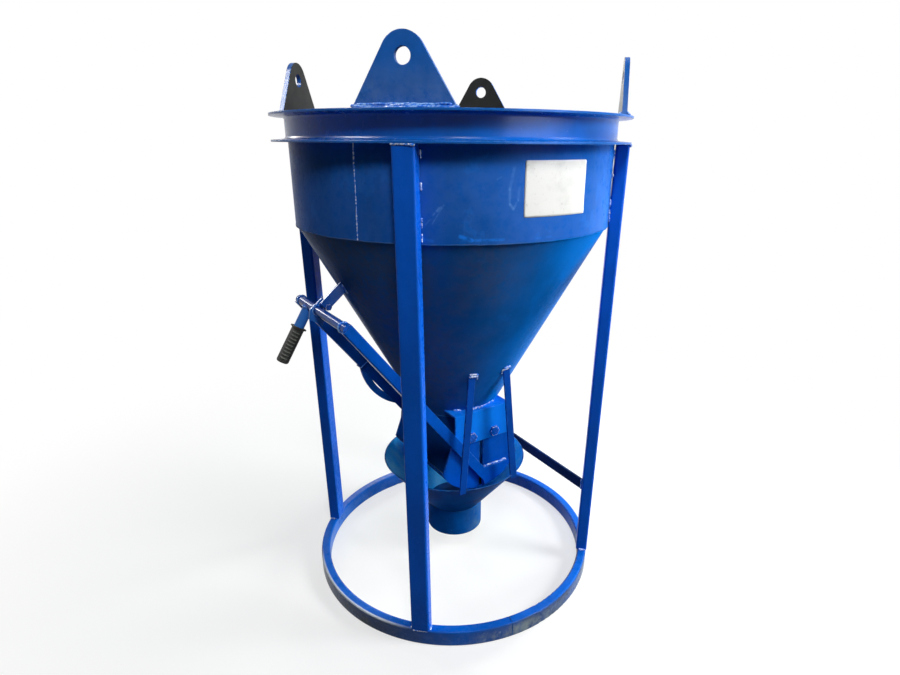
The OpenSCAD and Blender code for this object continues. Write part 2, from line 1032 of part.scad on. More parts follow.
place() drum_shell();
place() rim_channel();
place() hopper_cone();
place() outlet_neck();
place() leg_front_left();
place() leg_front_right();
place() leg_rear_left();
place() leg_rear_right();
place() base_ring();
place() tie_bar();
place() lug_front_left();
place() lug_front_right();
place() lug_rear_left();
place() lug_rear_right();
place() gate_cover_front();
place() gate_cover_rear();
place() pivot_bosses();
place() pivot_bolts();
place() discharge_funnel();
place() discharge_tube();
place() hanger_front_left();
place() hanger_front_right();
place() hanger_rear_left();
place() hanger_rear_right();
place() stop_bracket();
place() stop_bolt();
place() right_jaw_shell();
place() right_jaw_plate_front();
place() right_jaw_plate_rear();
place() right_jaw_gear_front();
place() right_jaw_gear_rear();
place() left_jaw_shell();
place() left_jaw_plate_front();
place() left_jaw_plate_rear();
place() left_jaw_gear_front();
place() left_jaw_gear_rear();
place() arm_tube_front();
place() arm_tube_rear();
place() arm_bar_front();
place() arm_bar_rear();
place() arm_foot_pad_front();
place() arm_foot_pad_rear();
place() rear_arm_bow();
place() cross_tube();
place() handle_plate();
place() handle_tube();
place() rubber_grip();
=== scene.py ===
import math
import random
import bpy
from mathutils import Matrix, Vector


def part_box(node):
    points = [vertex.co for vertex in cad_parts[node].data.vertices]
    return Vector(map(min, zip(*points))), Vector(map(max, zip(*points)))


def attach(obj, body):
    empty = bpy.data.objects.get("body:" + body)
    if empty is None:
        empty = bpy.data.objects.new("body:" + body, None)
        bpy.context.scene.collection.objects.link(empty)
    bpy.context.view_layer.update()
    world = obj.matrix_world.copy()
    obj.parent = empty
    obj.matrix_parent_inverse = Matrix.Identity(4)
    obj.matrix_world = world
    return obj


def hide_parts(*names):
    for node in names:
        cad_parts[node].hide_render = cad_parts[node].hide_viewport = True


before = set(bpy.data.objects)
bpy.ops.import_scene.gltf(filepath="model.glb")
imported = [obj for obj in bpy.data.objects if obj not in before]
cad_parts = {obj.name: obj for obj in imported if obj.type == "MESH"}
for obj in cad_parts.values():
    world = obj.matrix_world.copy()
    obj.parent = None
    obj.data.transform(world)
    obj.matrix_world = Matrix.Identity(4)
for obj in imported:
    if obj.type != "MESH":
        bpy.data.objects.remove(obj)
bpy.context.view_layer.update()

scene = bpy.context.scene

UP = Vector((0.0, 0.0, 1.0))
LEVEL = Vector((0.0, 1.0, 0.0))


# Sizes read from the frame, in metres

def span(node, axis):
    """Lowest and highest coordinate of a node along axis 0, 1 or 2, for x, y or z."""
    low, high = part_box(node)
    return float(low[axis]), float(high[axis])


def half_size(node, axis):
    low, high = span(node, axis)
    return (high - low) / 2


def middle(node):
    low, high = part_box(node)
    return Vector([(a + b) / 2 for a, b in zip(low, high)])


AXIS_X = middle("drum_shell").x
DRUM_R = half_size("drum_shell", 0)
DRUM_LOW = span("drum_shell", 2)[0]
RIM_LOW, RIM_TOP = span("rim_channel", 2)
NECK_R = half_size("outlet_neck", 0)
CONE_LOW = span("hopper_cone", 2)[0]
CONE_TOP_R = half_size("hopper_cone", 0)
CONE_SLOPE = (CONE_TOP_R - NECK_R) / (DRUM_LOW - CONE_LOW)
RING_R = half_size("base_ring", 0)
RING_TOP = span("base_ring", 2)[1]
SPOUT_R = half_size("discharge_tube", 0)
SPOUT_TOP = span("discharge_tube", 2)[1]
COVER_TOP = span("gate_cover_front", 2)[1]
STOP_FACES_Y = span("stop_bracket", 1)
CROSS = middle("cross_tube")
CROSS_R = half_size("cross_tube", 2)
ARM_Y = middle("arm_tube_rear").y
ARM_W = half_size("arm_tube_rear", 1) * 2
PAD_X = span("arm_foot_pad_front", 0)
PAD_TOP = span("arm_foot_pad_front", 2)[1]
HANDLE_Y = middle("handle_tube").y
HANDLE_R = half_size("handle_tube", 1)
HANDLE_PLATE_Y = span("handle_plate", 1)

# Sizes of the stock that the welds and the grip follow, in metres; azimuths and turns in degrees
LEG_AZIMUTHS = (45.0, 135.0, 225.0, 315.0)
LEG_W = 0.062
LEG_FACE_R = 0.5675
LEG_LEAN = 0.0143
RING_W = 0.034
LUG_R = 0.540
LUG_T = 0.015
LUG_HALF_W = 0.131
HANGER_TURN = -3.5
HANGER_TOP_X = 0.066
HANGER_TOP_Z = 0.866
HANGER_W = 0.026
STOP_CONE_X = -0.4197
STOP_CONE_Z = 1.1626
TIE_X = 0.3604
TIE_END_Y = 0.362
TIE_Z = 0.354
TIE_END_RISE = 0.0076
TIE_W = 0.042
ARM_SLOPE = math.radians(52.8)
ARM_TUBE_LEN = 0.352
HANDLE_SLOPE = math.radians(58.5)
HANDLE_DOWN = Vector((-math.cos(HANDLE_SLOPE), 0.0, -math.sin(HANDLE_SLOPE)))
HANDLE_ROOT = Vector((CROSS.x, HANDLE_Y, CROSS.z))


def srgb(r, g, b):
    """A colour given as 0 to 255 per channel, as the linear value that Blender takes."""
    def linear(c):
        c /= 255.0
        return c / 12.92 if c <= 0.04045 else ((c + 0.055) / 1.055) ** 2.4
    return (linear(r), linear(g), linear(b), 1.0)


def around(radius, azimuth_deg, z):
    """A point at a radius and azimuth about the bucket's own axis."""
    a = math.radians(azimuth_deg)
    return Vector((AXIS_X + radius * math.cos(a), radius * math.sin(a), z))


def cone_radius(z):
    return NECK_R + (z - CONE_LOW) * CONE_SLOPE


def leg_face(z):
    """Radius of a leg's outer face at a height."""
    return LEG_FACE_R + (z - DRUM_LOW) * LEG_LEAN


# Camera at the photograph's place

CAMERA_PLACE = Vector((AXIS_X - 1.0919, -1.7062, 1.6050))
HEADING = math.radians(34.663)
PITCH = math.radians(19.905)
ROLL = math.radians(0.44)
IMAGE_W = 900.0
IMAGE_H = 675.0
FOCAL_PX = 572.57
CENTRE_PX = (473.16, 348.90)
SENSOR_MM = 36.0
CLIP_END = 50.0


def make_camera():
    data = bpy.data.cameras.new("photo_camera")
    camera = bpy.data.objects.new("photo_camera", data)
    scene.collection.objects.link(camera)
    forward = Vector((math.sin(HEADING) * math.cos(PITCH), math.cos(HEADING) * math.cos(PITCH),
                      -math.sin(PITCH)))
    level = Vector((math.cos(HEADING), -math.sin(HEADING), 0.0))
    upward = level.cross(forward)
    right = level * math.cos(ROLL) + upward * math.sin(ROLL)
    up = upward * math.cos(ROLL) - level * math.sin(ROLL)
    columns = Matrix((right, up, -forward)).transposed().to_4x4()
    camera.matrix_world = Matrix.Translation(CAMERA_PLACE) @ columns
    data.sensor_width = SENSOR_MM
    data.lens = SENSOR_MM * FOCAL_PX / IMAGE_W
    data.shift_x = (IMAGE_W / 2 - CENTRE_PX[0]) / IMAGE_W
    data.shift_y = (CENTRE_PX[1] - IMAGE_H / 2) / IMAGE_W
    data.clip_end = CLIP_END
    scene.camera = camera


# Materials

class Shader:
    """A node material on Blender's standard surface, with short helpers for its nodes."""

    EDGE_SAMPLES = 6
    EDGE_COSINES = (0.995, 0.86)  # of flat and rounded normal, where an edge starts and is full
    UPWARD = (0.55, 0.95)  # upward part of a normal, where looking up starts and is full
    INWARD = (-0.25, -0.55)  # outward part of a normal, where looking inward starts and is full
    STROKE_CORE = 0.3  # share of a stroke's width over which it is full

    def __init__(self, name):
        self.material = bpy.data.materials.new(name)
        self.material.use_nodes = True
        self.tree = self.material.node_tree
        self.surface = self.tree.nodes["Principled BSDF"]
        coordinates = self.add("ShaderNodeTexCoord").outputs
        self.place = coordinates["Object"]
        self.facing = coordinates["Normal"]

    def add(self, kind, **settings):
        node = self.tree.nodes.new(kind)
        for key, value in settings.items():
            setattr(node, key, value)
        return node

    def feed(self, socket, value):
        """Links a node's output to a socket, or writes a plain value there."""
        if isinstance(value, bpy.types.NodeSocket):
            self.tree.links.new(value, socket)
        else:
            socket.default_value = value

    def set(self, socket, value):
        self.feed(self.surface.inputs[socket], value)

    def math(self, operation, a, b=0.0, clamp=False):
        node = self.add("ShaderNodeMath", operation=operation, use_clamp=clamp)
        self.feed(node.inputs[0], a)
        self.feed(node.inputs[1], b)
        return node.outputs[0]

    def times(self, first, *others):
        """The product of several values."""
        for other in others:
            first = self.math("MULTIPLY", first, other)
        return first

    def vector(self, operation, a, b=(0.0, 0.0, 0.0)):
        node = self.add("ShaderNodeVectorMath", operation=operation)
        self.feed(node.inputs[0], a)
        self.feed(node.inputs[1], b)
        return node.outputs["Value"] if operation in ("DOT_PRODUCT", "LENGTH") else node.outputs["Vector"]

    def parts(self, value):
        node = self.add("ShaderNodeSeparateXYZ")
        self.feed(node.inputs[0], value)
        return node.outputs

    def join(self, x, y, z):
        node = self.add("ShaderNodeCombineXYZ")
        for socket, value in zip(node.inputs, (x, y, z)):
            self.feed(socket, value)
        return node.outputs[0]

    def noise(self, scale, detail=3.0, rough=0.55, stretch=None, shift=0.0):
        """Noise from 0 to 1 over the piece's own place, stretched along an axis where asked."""
        place = self.place
        if stretch or shift:
            node = self.add("ShaderNodeMapping")
            self.feed(node.inputs["Vector"], self.place)
            node.inputs["Location"].default_value = (shift, shift, shift)
            node.inputs["Scale"].default_value = stretch or (1.0, 1.0, 1.0)
            place = node.outputs[0]
        node = self.add("ShaderNodeTexNoise")
        self.feed(node.inputs["Vector"], place)
        for socket, setting in (("Scale", scale), ("Detail", detail), ("Roughness", rough)):
            node.inputs[socket].default_value = setting
        return node.outputs[0]

    def ramp(self, value, low, high, out_low=0.0, out_high=1.0):
        """Takes low..high to out_low..out_high and holds it there past the ends."""
        node = self.add("ShaderNodeMapRange", interpolation_type="SMOOTHSTEP")
        self.feed(node.inputs["Value"], value)
        ends = {"From Min": low, "From Max": high, "To Min": out_low, "To Max": out_high}
        for socket, end in ends.items():
            node.inputs[socket].default_value = end
        return node.outputs[0]

    def mix(self, share, a, b):
        node = self.add("ShaderNodeMix", data_type="RGBA")
        self.feed(node.inputs["Factor"], share)
        colours = [s for s in node.inputs if s.type == "RGBA"]
        self.feed(colours[0], a)
        self.feed(colours[1], b)
        return [s for s in node.outputs if s.type == "RGBA"][0]

    def edges(self, radius):
        """The normal rounded over edges, and a mask that is 1 on the edges themselves."""
        soft = self.add("ShaderNodeBevel", samples=self.EDGE_SAMPLES)
        soft.inputs["Radius"].default_value = radius
        flat = self.add("ShaderNodeNewGeometry").outputs["Normal"]
        along = self.vector("DOT_PRODUCT", soft.outputs[0], flat)
        return soft.outputs[0], self.ramp(along, *self.EDGE_COSINES)

    def bump(self, height, distance, strength, normal=None):
        node = self.add("ShaderNodeBump")
        self.feed(node.inputs["Height"], height)
        node.inputs["Distance"].default_value = distance
        node.inputs["Strength"].default_value = strength
        if normal is not None:
            self.feed(node.inputs["Normal"], normal)
        return node.outputs[0]

    def upward(self):
        """1 on faces that look up, where dust settles."""
        return self.ramp(self.parts(self.facing)[2], *self.UPWARD)

    def from_axis(self):
        """The level vector from the bucket's own axis to the place."""
        xyz = self.parts(self.place)
        return self.join(self.math("SUBTRACT", xyz[0], AXIS_X), xyz[1], 0.0)

    def inward(self):
        """1 on faces that look at the bucket's own axis."""
        outward = self.vector("NORMALIZE", self.from_axis())
        return self.ramp(self.vector("DOT_PRODUCT", outward, self.facing), *self.INWARD)

    def distance(self, point):
        """How far the place is from a point."""
        return self.vector("LENGTH", self.vector("SUBTRACT", self.place, tuple(point)))

    def stroke(self, around_m, start, end, width):
        """1 along a straight stroke on the unrolled drum, fading over its width."""
        a = Vector((start[0], start[1], 0.0))
        d = Vector((end[0], end[1], 0.0)) - a
        away = self.vector("SUBTRACT", around_m, tuple(a))
        along = self.vector("DOT_PRODUCT", away, tuple(d))
        nearest = self.add("ShaderNodeVectorMath", operation="SCALE")
        nearest.inputs[0].default_value = tuple(d)
        self.feed(nearest.inputs["Scale"], self.math("MULTIPLY", along, 1.0 / d.length_squared, clamp=True))
        gap = self.vector("LENGTH", self.vector("SUBTRACT", away, nearest.outputs[0]))
        return self.ramp(gap, width, width * self.STROKE_CORE)


DEEP_BLUE = srgb(4, 86, 168)
ROYAL_BLUE = srgb(4, 102, 202)
BRIGHT_BLUE = srgb(8, 124, 236)
PALE_BLUE = srgb(110, 172, 240)
GREY_BLUE = srgb(120, 146, 186)
WELD_BLUE = srgb(24, 112, 222)
# White for the painted edge highlight on the ring, and for the bolts' corners, which are partly bare and
# partly painted highlight
BARE_EDGE_AND_HIGHLIGHT = srgb(236, 244, 255)
DUST = srgb(126, 122, 104)
SCUFF = srgb(156, 170, 166)
GROUT = srgb(86, 83, 74)
# Dark grey for dried mud on the ring, which also paints shade on its outer face
MUD_AND_SHADE = srgb(58, 66, 68)
# Brownish grey for the painted reflection on the cone
REFLECTION_BROWN = srgb(96, 90, 74)
SILT = srgb(92, 112, 104)
PRIMER = srgb(34, 32, 28)
RUST = srgb(98, 58, 34)

# Refraction of each coat: low on the wide faces, so that white surroundings don't wash the blue out
SHELL_IOR = 1.055
CONE_IOR = 1.032
ENAMEL_IOR = 1.08
FRAME_IOR = 1.12
RING_IOR = 1.20
TUBE_IOR = 1.20
LUG_IOR = 1.24
RIM_IOR = 1.22
FUNNEL_IOR = 1.025
WELD_IOR = 1.45


def coat_colour(s, deep, bright, clouds, patches):
    """Clouds and runs between two blues, with patches of a brighter second coat."""
    runs = s.noise(7.0, 4.0, 0.6, stretch=(1.0, 1.0, 0.16), shift=3.1)
    coat = s.noise(5.3, 5.0, 0.66, shift=7.7)
    tone = s.math("ADD", s.times(clouds, 0.6), s.times(runs, 0.4))
    colour = s.mix(s.ramp(tone, 0.36, 0.64), deep, bright)
    return s.mix(s.times(s.ramp(coat, 0.585, 0.60), patches), colour, BRIGHT_BLUE)


def worn_colour(s, colour, edge, fine, edge_wear, dust, nicked):
    """Nicks, rubbed edges, and dust on what looks up."""
    speck = s.noise(150.0, 2.0, 0.5, shift=1.3)
    nicks = s.times(s.ramp(speck, 0.73, 0.76), s.ramp(fine, 0.48, 0.62))
    colour = s.mix(s.times(nicks, nicked), colour, PALE_BLUE)
    colour = s.mix(s.times(edge, s.ramp(fine, 0.40, 0.62), edge_wear), colour, PALE_BLUE)
    return s.mix(s.times(s.upward(), s.ramp(fine, 0.42, 0.72), dust), colour, DUST)


def dust_and_reflection_film(s, colour, clouds, fine, axis, clean, full, most, haze):
    """A thin film that grows along an axis, from none at one place to the most at another: dust on the lugs
    and spout, dust and painted sheen on the drum, painted reflection on the cone.
    """
    dust_and_reflection = s.times(s.ramp(s.parts(s.place)[axis], clean, full), s.ramp(clouds, 0.30, 0.60))
    return s.mix(s.times(dust_and_reflection, s.ramp(fine, 0.25, 0.60, most * 0.4, most)), colour, haze)


# Strokes on the drum as (azimuth in degrees, height), from start to end, with a width and a strength
DRUM_SCRATCHES = (
    ((-105.2, 1.546), (-106.5, 1.490), 0.0060, 0.14),
    ((-106.5, 1.490), (-106.3, 1.452), 0.0055, 0.20),
    ((-106.3, 1.452), (-105.2, 1.440), 0.0050, 0.24),
    ((-105.2, 1.440), (-103.9, 1.462), 0.0050, 0.20),
    ((-103.9, 1.462), (-103.4, 1.505), 0.0055, 0.12),
    ((-130.4, 1.402), (-126.6, 1.446), 0.0028, 0.26),
    ((-128.6, 1.404), (-125.2, 1.452), 0.0024, 0.20),
    ((-127.0, 1.436), (-126.0, 1.446), 0.0040, 0.30),
    ((-110.2, 1.515), (-109.2, 1.520), 0.0034, 0.20),
)
DRUM_SMEARS = (
    ((-120.6, 1.372), (-117.4, 1.362), 0.0075, 0.85),
    ((-117.4, 1.362), (-108.0, 1.362), 0.0050, 0.60),
    ((-132.0, 1.366), (-128.6, 1.360), 0.0055, 0.35),
    ((-98.0, 1.360), (-92.0, 1.362), 0.0042, 0.30),
)


def drum_marks(s, colour, fine):
    """Scratches and brushed smears on the outside of the drum."""
    xyz = s.parts(s.place)
    turn = s.math("ARCTAN2", xyz[1], s.math("SUBTRACT", xyz[0], AXIS_X))
    unrolled = s.join(s.times(turn, DRUM_R), xyz[2], 0.0)
    for strokes, paint in ((DRUM_SCRATCHES, PALE_BLUE), (DRUM_SMEARS, BRIGHT_BLUE)):
        for start, end, width, strength in strokes:
            a = (math.radians(start[0]) * DRUM_R, start[1])
            b = (math.radians(end[0]) * DRUM_R, end[1])
            broken = s.times(s.stroke(unrolled, a, b, width), s.ramp(fine, 0.34, 0.56))
            colour = s.mix(s.times(broken, strength), colour, paint)
    return colour


# Azimuths of the stretches of ring that are dragged, splashed with mud that also paints shade on the outer
# face, and given a painted highlight on the edge
DRAG_AZIMUTH = -99.0
MUD_AND_SHADE_AZIMUTHS = (-72.0, -172.0)
EDGE_HIGHLIGHT_AZIMUTH = -170.0

# Distances from those places at which each is weakest, and at which it is full
DRAG_FADE = (0.24, 0.02)
MUD_AND_SHADE_FADE = (0.46, 0.16)
EDGE_HIGHLIGHT_FADE = (0.32, 0.16)

# How far inside the ring's outer face, and below its top, the painted edge highlight starts, and is full
EDGE_HIGHLIGHT_OUTER = (0.009, 0.004)
EDGE_HIGHLIGHT_TOP = (0.008, 0.003)


def ring_wear(s, colour, _):
    """Dried mud that also paints shade on the outer face, a dragged stretch with chips, and a painted
    highlight along a stretch of the top outer edge.
    """
    height = s.parts(s.place)[2]
    low = s.ramp(height, RING_TOP * 1.02, RING_TOP * 0.5)
    away = s.distance(around(RING_R, DRAG_AZIMUTH, RING_TOP / 2))
    near = s.times(low, s.ramp(away, *DRAG_FADE, 0.12, 1.0))
    mud_and_shade_cover = s.ramp(s.noise(8.0, 5.0, 0.6, shift=6.6), 0.30, 0.60, 0.45, 0.85)
    # Mud on faces that don't look up, near two azimuths: dirt, and painted shade on the ring's outer face
    for azimuth in MUD_AND_SHADE_AZIMUTHS:
        beside = s.distance(around(RING_R, azimuth, 0.0))
        mud_and_shade = s.times(s.math("SUBTRACT", 1.0, s.upward()), s.ramp(beside, *MUD_AND_SHADE_FADE))
        colour = s.mix(s.times(mud_and_shade, mud_and_shade_cover), colour, MUD_AND_SHADE)
    scraped = s.ramp(s.noise(11.0, 6.0, 0.7, stretch=(1.0, 1.0, 0.6), shift=2.2), 0.34, 0.62)
    colour = s.mix(s.times(scraped, near, 0.8), colour, SCUFF)
    chips = s.ramp(s.noise(60.0, 3.0, 0.6, shift=8.8), 0.62, 0.66)
    colour = s.mix(s.times(chips, near, 0.8), colour, GREY_BLUE)
    # Painted highlight: a white stretch along the ring's top outer edge, standing in for a reflection
    reach = s.vector("LENGTH", s.from_axis())
    shoulder = s.times(s.ramp(reach, *(RING_R - d for d in EDGE_HIGHLIGHT_OUTER)),
                       s.ramp(height, *(RING_TOP - d for d in EDGE_HIGHLIGHT_TOP)))
    beside = s.distance(around(RING_R, EDGE_HIGHLIGHT_AZIMUTH, RING_TOP))
    return s.mix(s.times(shoulder, s.ramp(beside, *EDGE_HIGHLIGHT_FADE, 0.0, 0.9)), colour, BARE_EDGE_AND_HIGHLIGHT)


def enamel(name, deep=DEEP_BLUE, bright=ROYAL_BLUE, edge_r=0.0025, edge_wear=0.5, dust=0.15, rough=0.26,
           cloud_scale=2.4, grain=0.4, patches=0.16, nicked=0.4, ior=ENAMEL_IOR, inside=None, lined=0.0,
           film=None, marks=None):
    """Gloss enamel over welded steel: cloudy colour, runs, worn edges, settled dust and orange peel.

    marks, where given, is a function of the shader, the colour so far and the fine noise.
    """
    s = Shader(name)
    soft, edge = s.edges(edge_r)
    clouds = s.noise(cloud_scale, 4.0, 0.6)
    fine = s.noise(46.0, 5.0, 0.68, shift=5.9)
    colour = coat_colour(s, deep, bright, clouds, patches)
    colour = worn_colour(s, colour, edge, fine, edge_wear, dust, nicked)
    shine = s.ramp(s.math("ADD", s.times(fine, 0.5), s.times(clouds, 0.5)), 0.34, 0.66,
                   rough - 0.06, rough + 0.10)
    if marks:
        colour = marks(s, colour, fine)
    if film:
        colour = dust_and_reflection_film(s, colour, clouds, fine, *film)
    # Inward faces take the inside colours: a lining in the shell, neck, rim and lugs, and painted light in
    # the funnel
    if inside:
        turned_in = s.math("MAXIMUM", s.inward(), s.times(s.upward(), lined))
        residue = s.ramp(s.noise(9.0, 6.0, 0.72, stretch=(1.0, 1.0, 0.45), shift=4.4), 0.38, 0.80)
        colour = s.mix(turned_in, colour, s.mix(residue, *inside))
        shine = s.math("ADD", shine, s.times(turned_in, 0.06))
    s.set("Base Color", colour)
    s.set("Roughness", shine)
    s.set("IOR", ior)
    sheet = s.noise(6.5, 2.0, 0.4, shift=6.1)
    peel = s.noise(330.0, 2.0, 0.5, shift=0.4)
    normal = s.bump(sheet, 0.010, 0.16, soft)
    normal = s.bump(fine, 0.0012, grain * 0.35, normal)
    s.set("Normal", s.bump(peel, 0.0006, grain * 0.45, normal))
    return s.material


def weld_paint(name, peak_highlight):
    """Enamel that pooled thin and shiny over rough weld metal, paler on its peaks, which are painted
    highlights.
    """
    s = Shader(name)
    lumps = s.noise(130.0, 4.0, 0.6)
    clouds = s.noise(9.0, 3.0, 0.6, shift=2.0)
    colour = s.mix(s.ramp(lumps, 0.44, 0.60), WELD_BLUE, peak_highlight)
    colour = s.mix(s.ramp(clouds, 0.46, 0.70, 0.0, 0.6), colour, ROYAL_BLUE)
    s.set("Base Color", colour)
    s.set("Roughness", s.ramp(lumps, 0.3, 0.7, 0.12, 0.26))
    s.set("IOR", WELD_IOR)
    s.set("Normal", s.bump(s.noise(260.0, 3.0, 0.6, shift=3.3), 0.0012, 0.5))
    return s.material


def painted_bolt():
    """Painted bolt heads with white corners, partly rubbed bare and partly a painted highlight."""
    s = Shader("bolt_enamel")
    soft, edge = s.edges(0.003)
    fine = s.noise(120.0, 4.0, 0.6)
    # White corners: bare metal, and painted highlight
    bare_and_highlight = s.times(edge, s.ramp(fine, 0.42, 0.52))
    colour = s.mix(s.ramp(fine, 0.35, 0.70), srgb(3, 68, 160), srgb(4, 92, 204))
    s.set("Base Color", s.mix(bare_and_highlight, colour, BARE_EDGE_AND_HIGHLIGHT))
    s.set("Roughness", s.ramp(fine, 0.3, 0.7, 0.14, 0.28))
    s.set("IOR", TUBE_IOR)
    s.set("Normal", s.bump(fine, 0.0008, 0.25, soft))
    return s.material


def gear_steel():
    """Flame-cut steel, oiled, with mill scale and a little rust."""
    s = Shader("gear_steel")
    soft, edge = s.edges(0.0015)
    scale = s.noise(28.0, 5.0, 0.65)
    drag = s.noise(210.0, 2.0, 0.5, stretch=(1.0, 0.12, 1.0), shift=1.1)
    rusted = s.ramp(s.noise(14.0, 6.0, 0.7, shift=9.0), 0.56, 0.74)
    colour = s.mix(s.ramp(scale, 0.38, 0.66), srgb(92, 94, 98), srgb(150, 152, 154))
    colour = s.mix(s.times(rusted, 0.7), colour, RUST)
    s.set("Base Color", s.mix(s.times(edge, 0.7), colour, srgb(206, 208, 210)))
    s.set("Metallic", s.ramp(scale, 0.2, 0.5, 0.75, 1.0))
    s.set("Roughness", s.ramp(scale, 0.3, 0.7, 0.26, 0.48))
    s.set("Normal", s.bump(drag, 0.0008, 0.5, soft))
    return s.material


# Sizes of the moulded grip, in metres, with the turn of its two panels of ribs
GRIP_START = 0.080
GRIP_END = 0.210
GRIP_R = 0.0205
GRIP_BORE_R = 0.0172
GRIP_END_T = 0.004
GRIP_END_ROUND = 0.007
GRIP_COLLAR_R = 0.0268
GRIP_COLLAR_T = 0.0045
GRIP_COLLAR_ROUND = 0.001
GRIP_BARREL_START = 0.010
GRIP_TURN = math.radians(18.0)
GRIP_RIBS = 9
GRIP_RIB_START = 0.014
GRIP_RIB_PITCH = 0.0116
GRIP_RIB_H = 0.0019


def grip_rubber():
    """Moulded black rubber, greyed by hands and dust on what stands proud; the pale rib crests are also a
    painted highlight.
    """
    s = Shader("grip_rubber")
    soft, edge = s.edges(0.0012)
    fine = s.noise(240.0, 3.0, 0.6)
    hands = s.noise(26.0, 5.0, 0.65, shift=3.0)
    colour = s.mix(s.ramp(hands, 0.40, 0.70), srgb(24, 25, 22), srgb(38, 40, 35))
    colour = s.mix(s.times(edge, 0.35), colour, srgb(112, 116, 106))
    away = s.vector("SUBTRACT", s.place, tuple(HANDLE_ROOT))
    along = s.vector("DOT_PRODUCT", away, tuple(HANDLE_DOWN))
    ribs = s.math("DIVIDE", s.math("SUBTRACT", along, GRIP_START + GRIP_RIB_START), GRIP_RIB_PITCH)
    off_crest = s.math("ABSOLUTE", s.math("SUBTRACT", s.math("FRACT", ribs), 0.5))
    off_middle = s.math("ABSOLUTE", s.math("SUBTRACT", ribs, GRIP_RIBS / 2))
    within = s.math("LESS_THAN", off_middle, GRIP_RIBS / 2)
    lean = math.sin(GRIP_TURN) / GRIP_R
    panel = (math.sin(HANDLE_SLOPE) * lean, math.cos(GRIP_TURN) / GRIP_R, -math.cos(HANDLE_SLOPE) * lean)
    sideways = s.math("ABSOLUTE", s.vector("DOT_PRODUCT", away, panel))
    # Pale rib crests: dust, and painted highlight
    crest = s.times(s.ramp(off_crest, 0.26, 0.08), within, s.ramp(sideways, 0.84, 0.95))
    s.set("Base Color", s.mix(s.times(crest, 0.6), colour, srgb(150, 156, 144)))
    s.set("Roughness", s.ramp(hands, 0.3, 0.7, 0.42, 0.66))
    s.set("Specular IOR Level", 0.2)
    s.set("Normal", s.bump(fine, 0.0004, 0.2, soft))
    return s.material


def label_vinyl():
    """A blank white vinyl sheet, a little yellowed, with smudges and fine creases."""
    s = Shader("label_vinyl")
    smudge = s.noise(13.0, 6.0, 0.68)
    crease = s.noise(24.0, 3.0, 0.5, stretch=(1.0, 1.0, 0.3), shift=2.0)
    grime = s.ramp(s.noise(90.0, 4.0, 0.7, shift=5.0), 0.60, 0.72)
    colour = s.mix(s.ramp(smudge, 0.46, 0.72, 0.0, 0.6), srgb(236, 236, 233), srgb(208, 209, 206))
    s.set("Base Color", s.mix(s.times(grime, 0.35), colour, srgb(150, 150, 142)))
    s.set("Roughness", s.ramp(smudge, 0.3, 0.7, 0.28, 0.46))
    s.set("Specular IOR Level", 0.08)
    s.set("Normal", s.bump(crease, 0.0015, 0.25))
    return s.material


# Which finish each node wears

LINING = (PRIMER, GROUT)
LINED = dict(inside=LINING, lined=1.0)
LUG_BACK = (srgb(20, 22, 23), srgb(32, 34, 34))
# Bright teal for the funnel's inside: painted light where the lamps hardly reach
FUNNEL_INSIDE_PAINTED_LIGHT = (srgb(40, 176, 252), srgb(120, 208, 250))

# Films as axis, where it is clean, where it is full, its greatest share and its colour
# On the cone, a brownish film that grows towards -x: painted reflection of dark surroundings
CONE_REFLECTION_FILM = (0, AXIS_X + 0.06, AXIS_X - 0.24, 0.52, REFLECTION_BROWN)
# On the drum, a grey film over the wall below the rim: dust, and painted sheen
DRUM_DUST_AND_SHEEN_FILM = (2, RIM_TOP, RIM_LOW - 0.08, 0.13, GREY_BLUE)
LUG_FILM = (2, RIM_TOP + 0.13, RIM_TOP, 0.4, GREY_BLUE)
SPOUT_FILM = (0, AXIS_X - 0.05, AXIS_X + 0.05, 0.5, SILT)

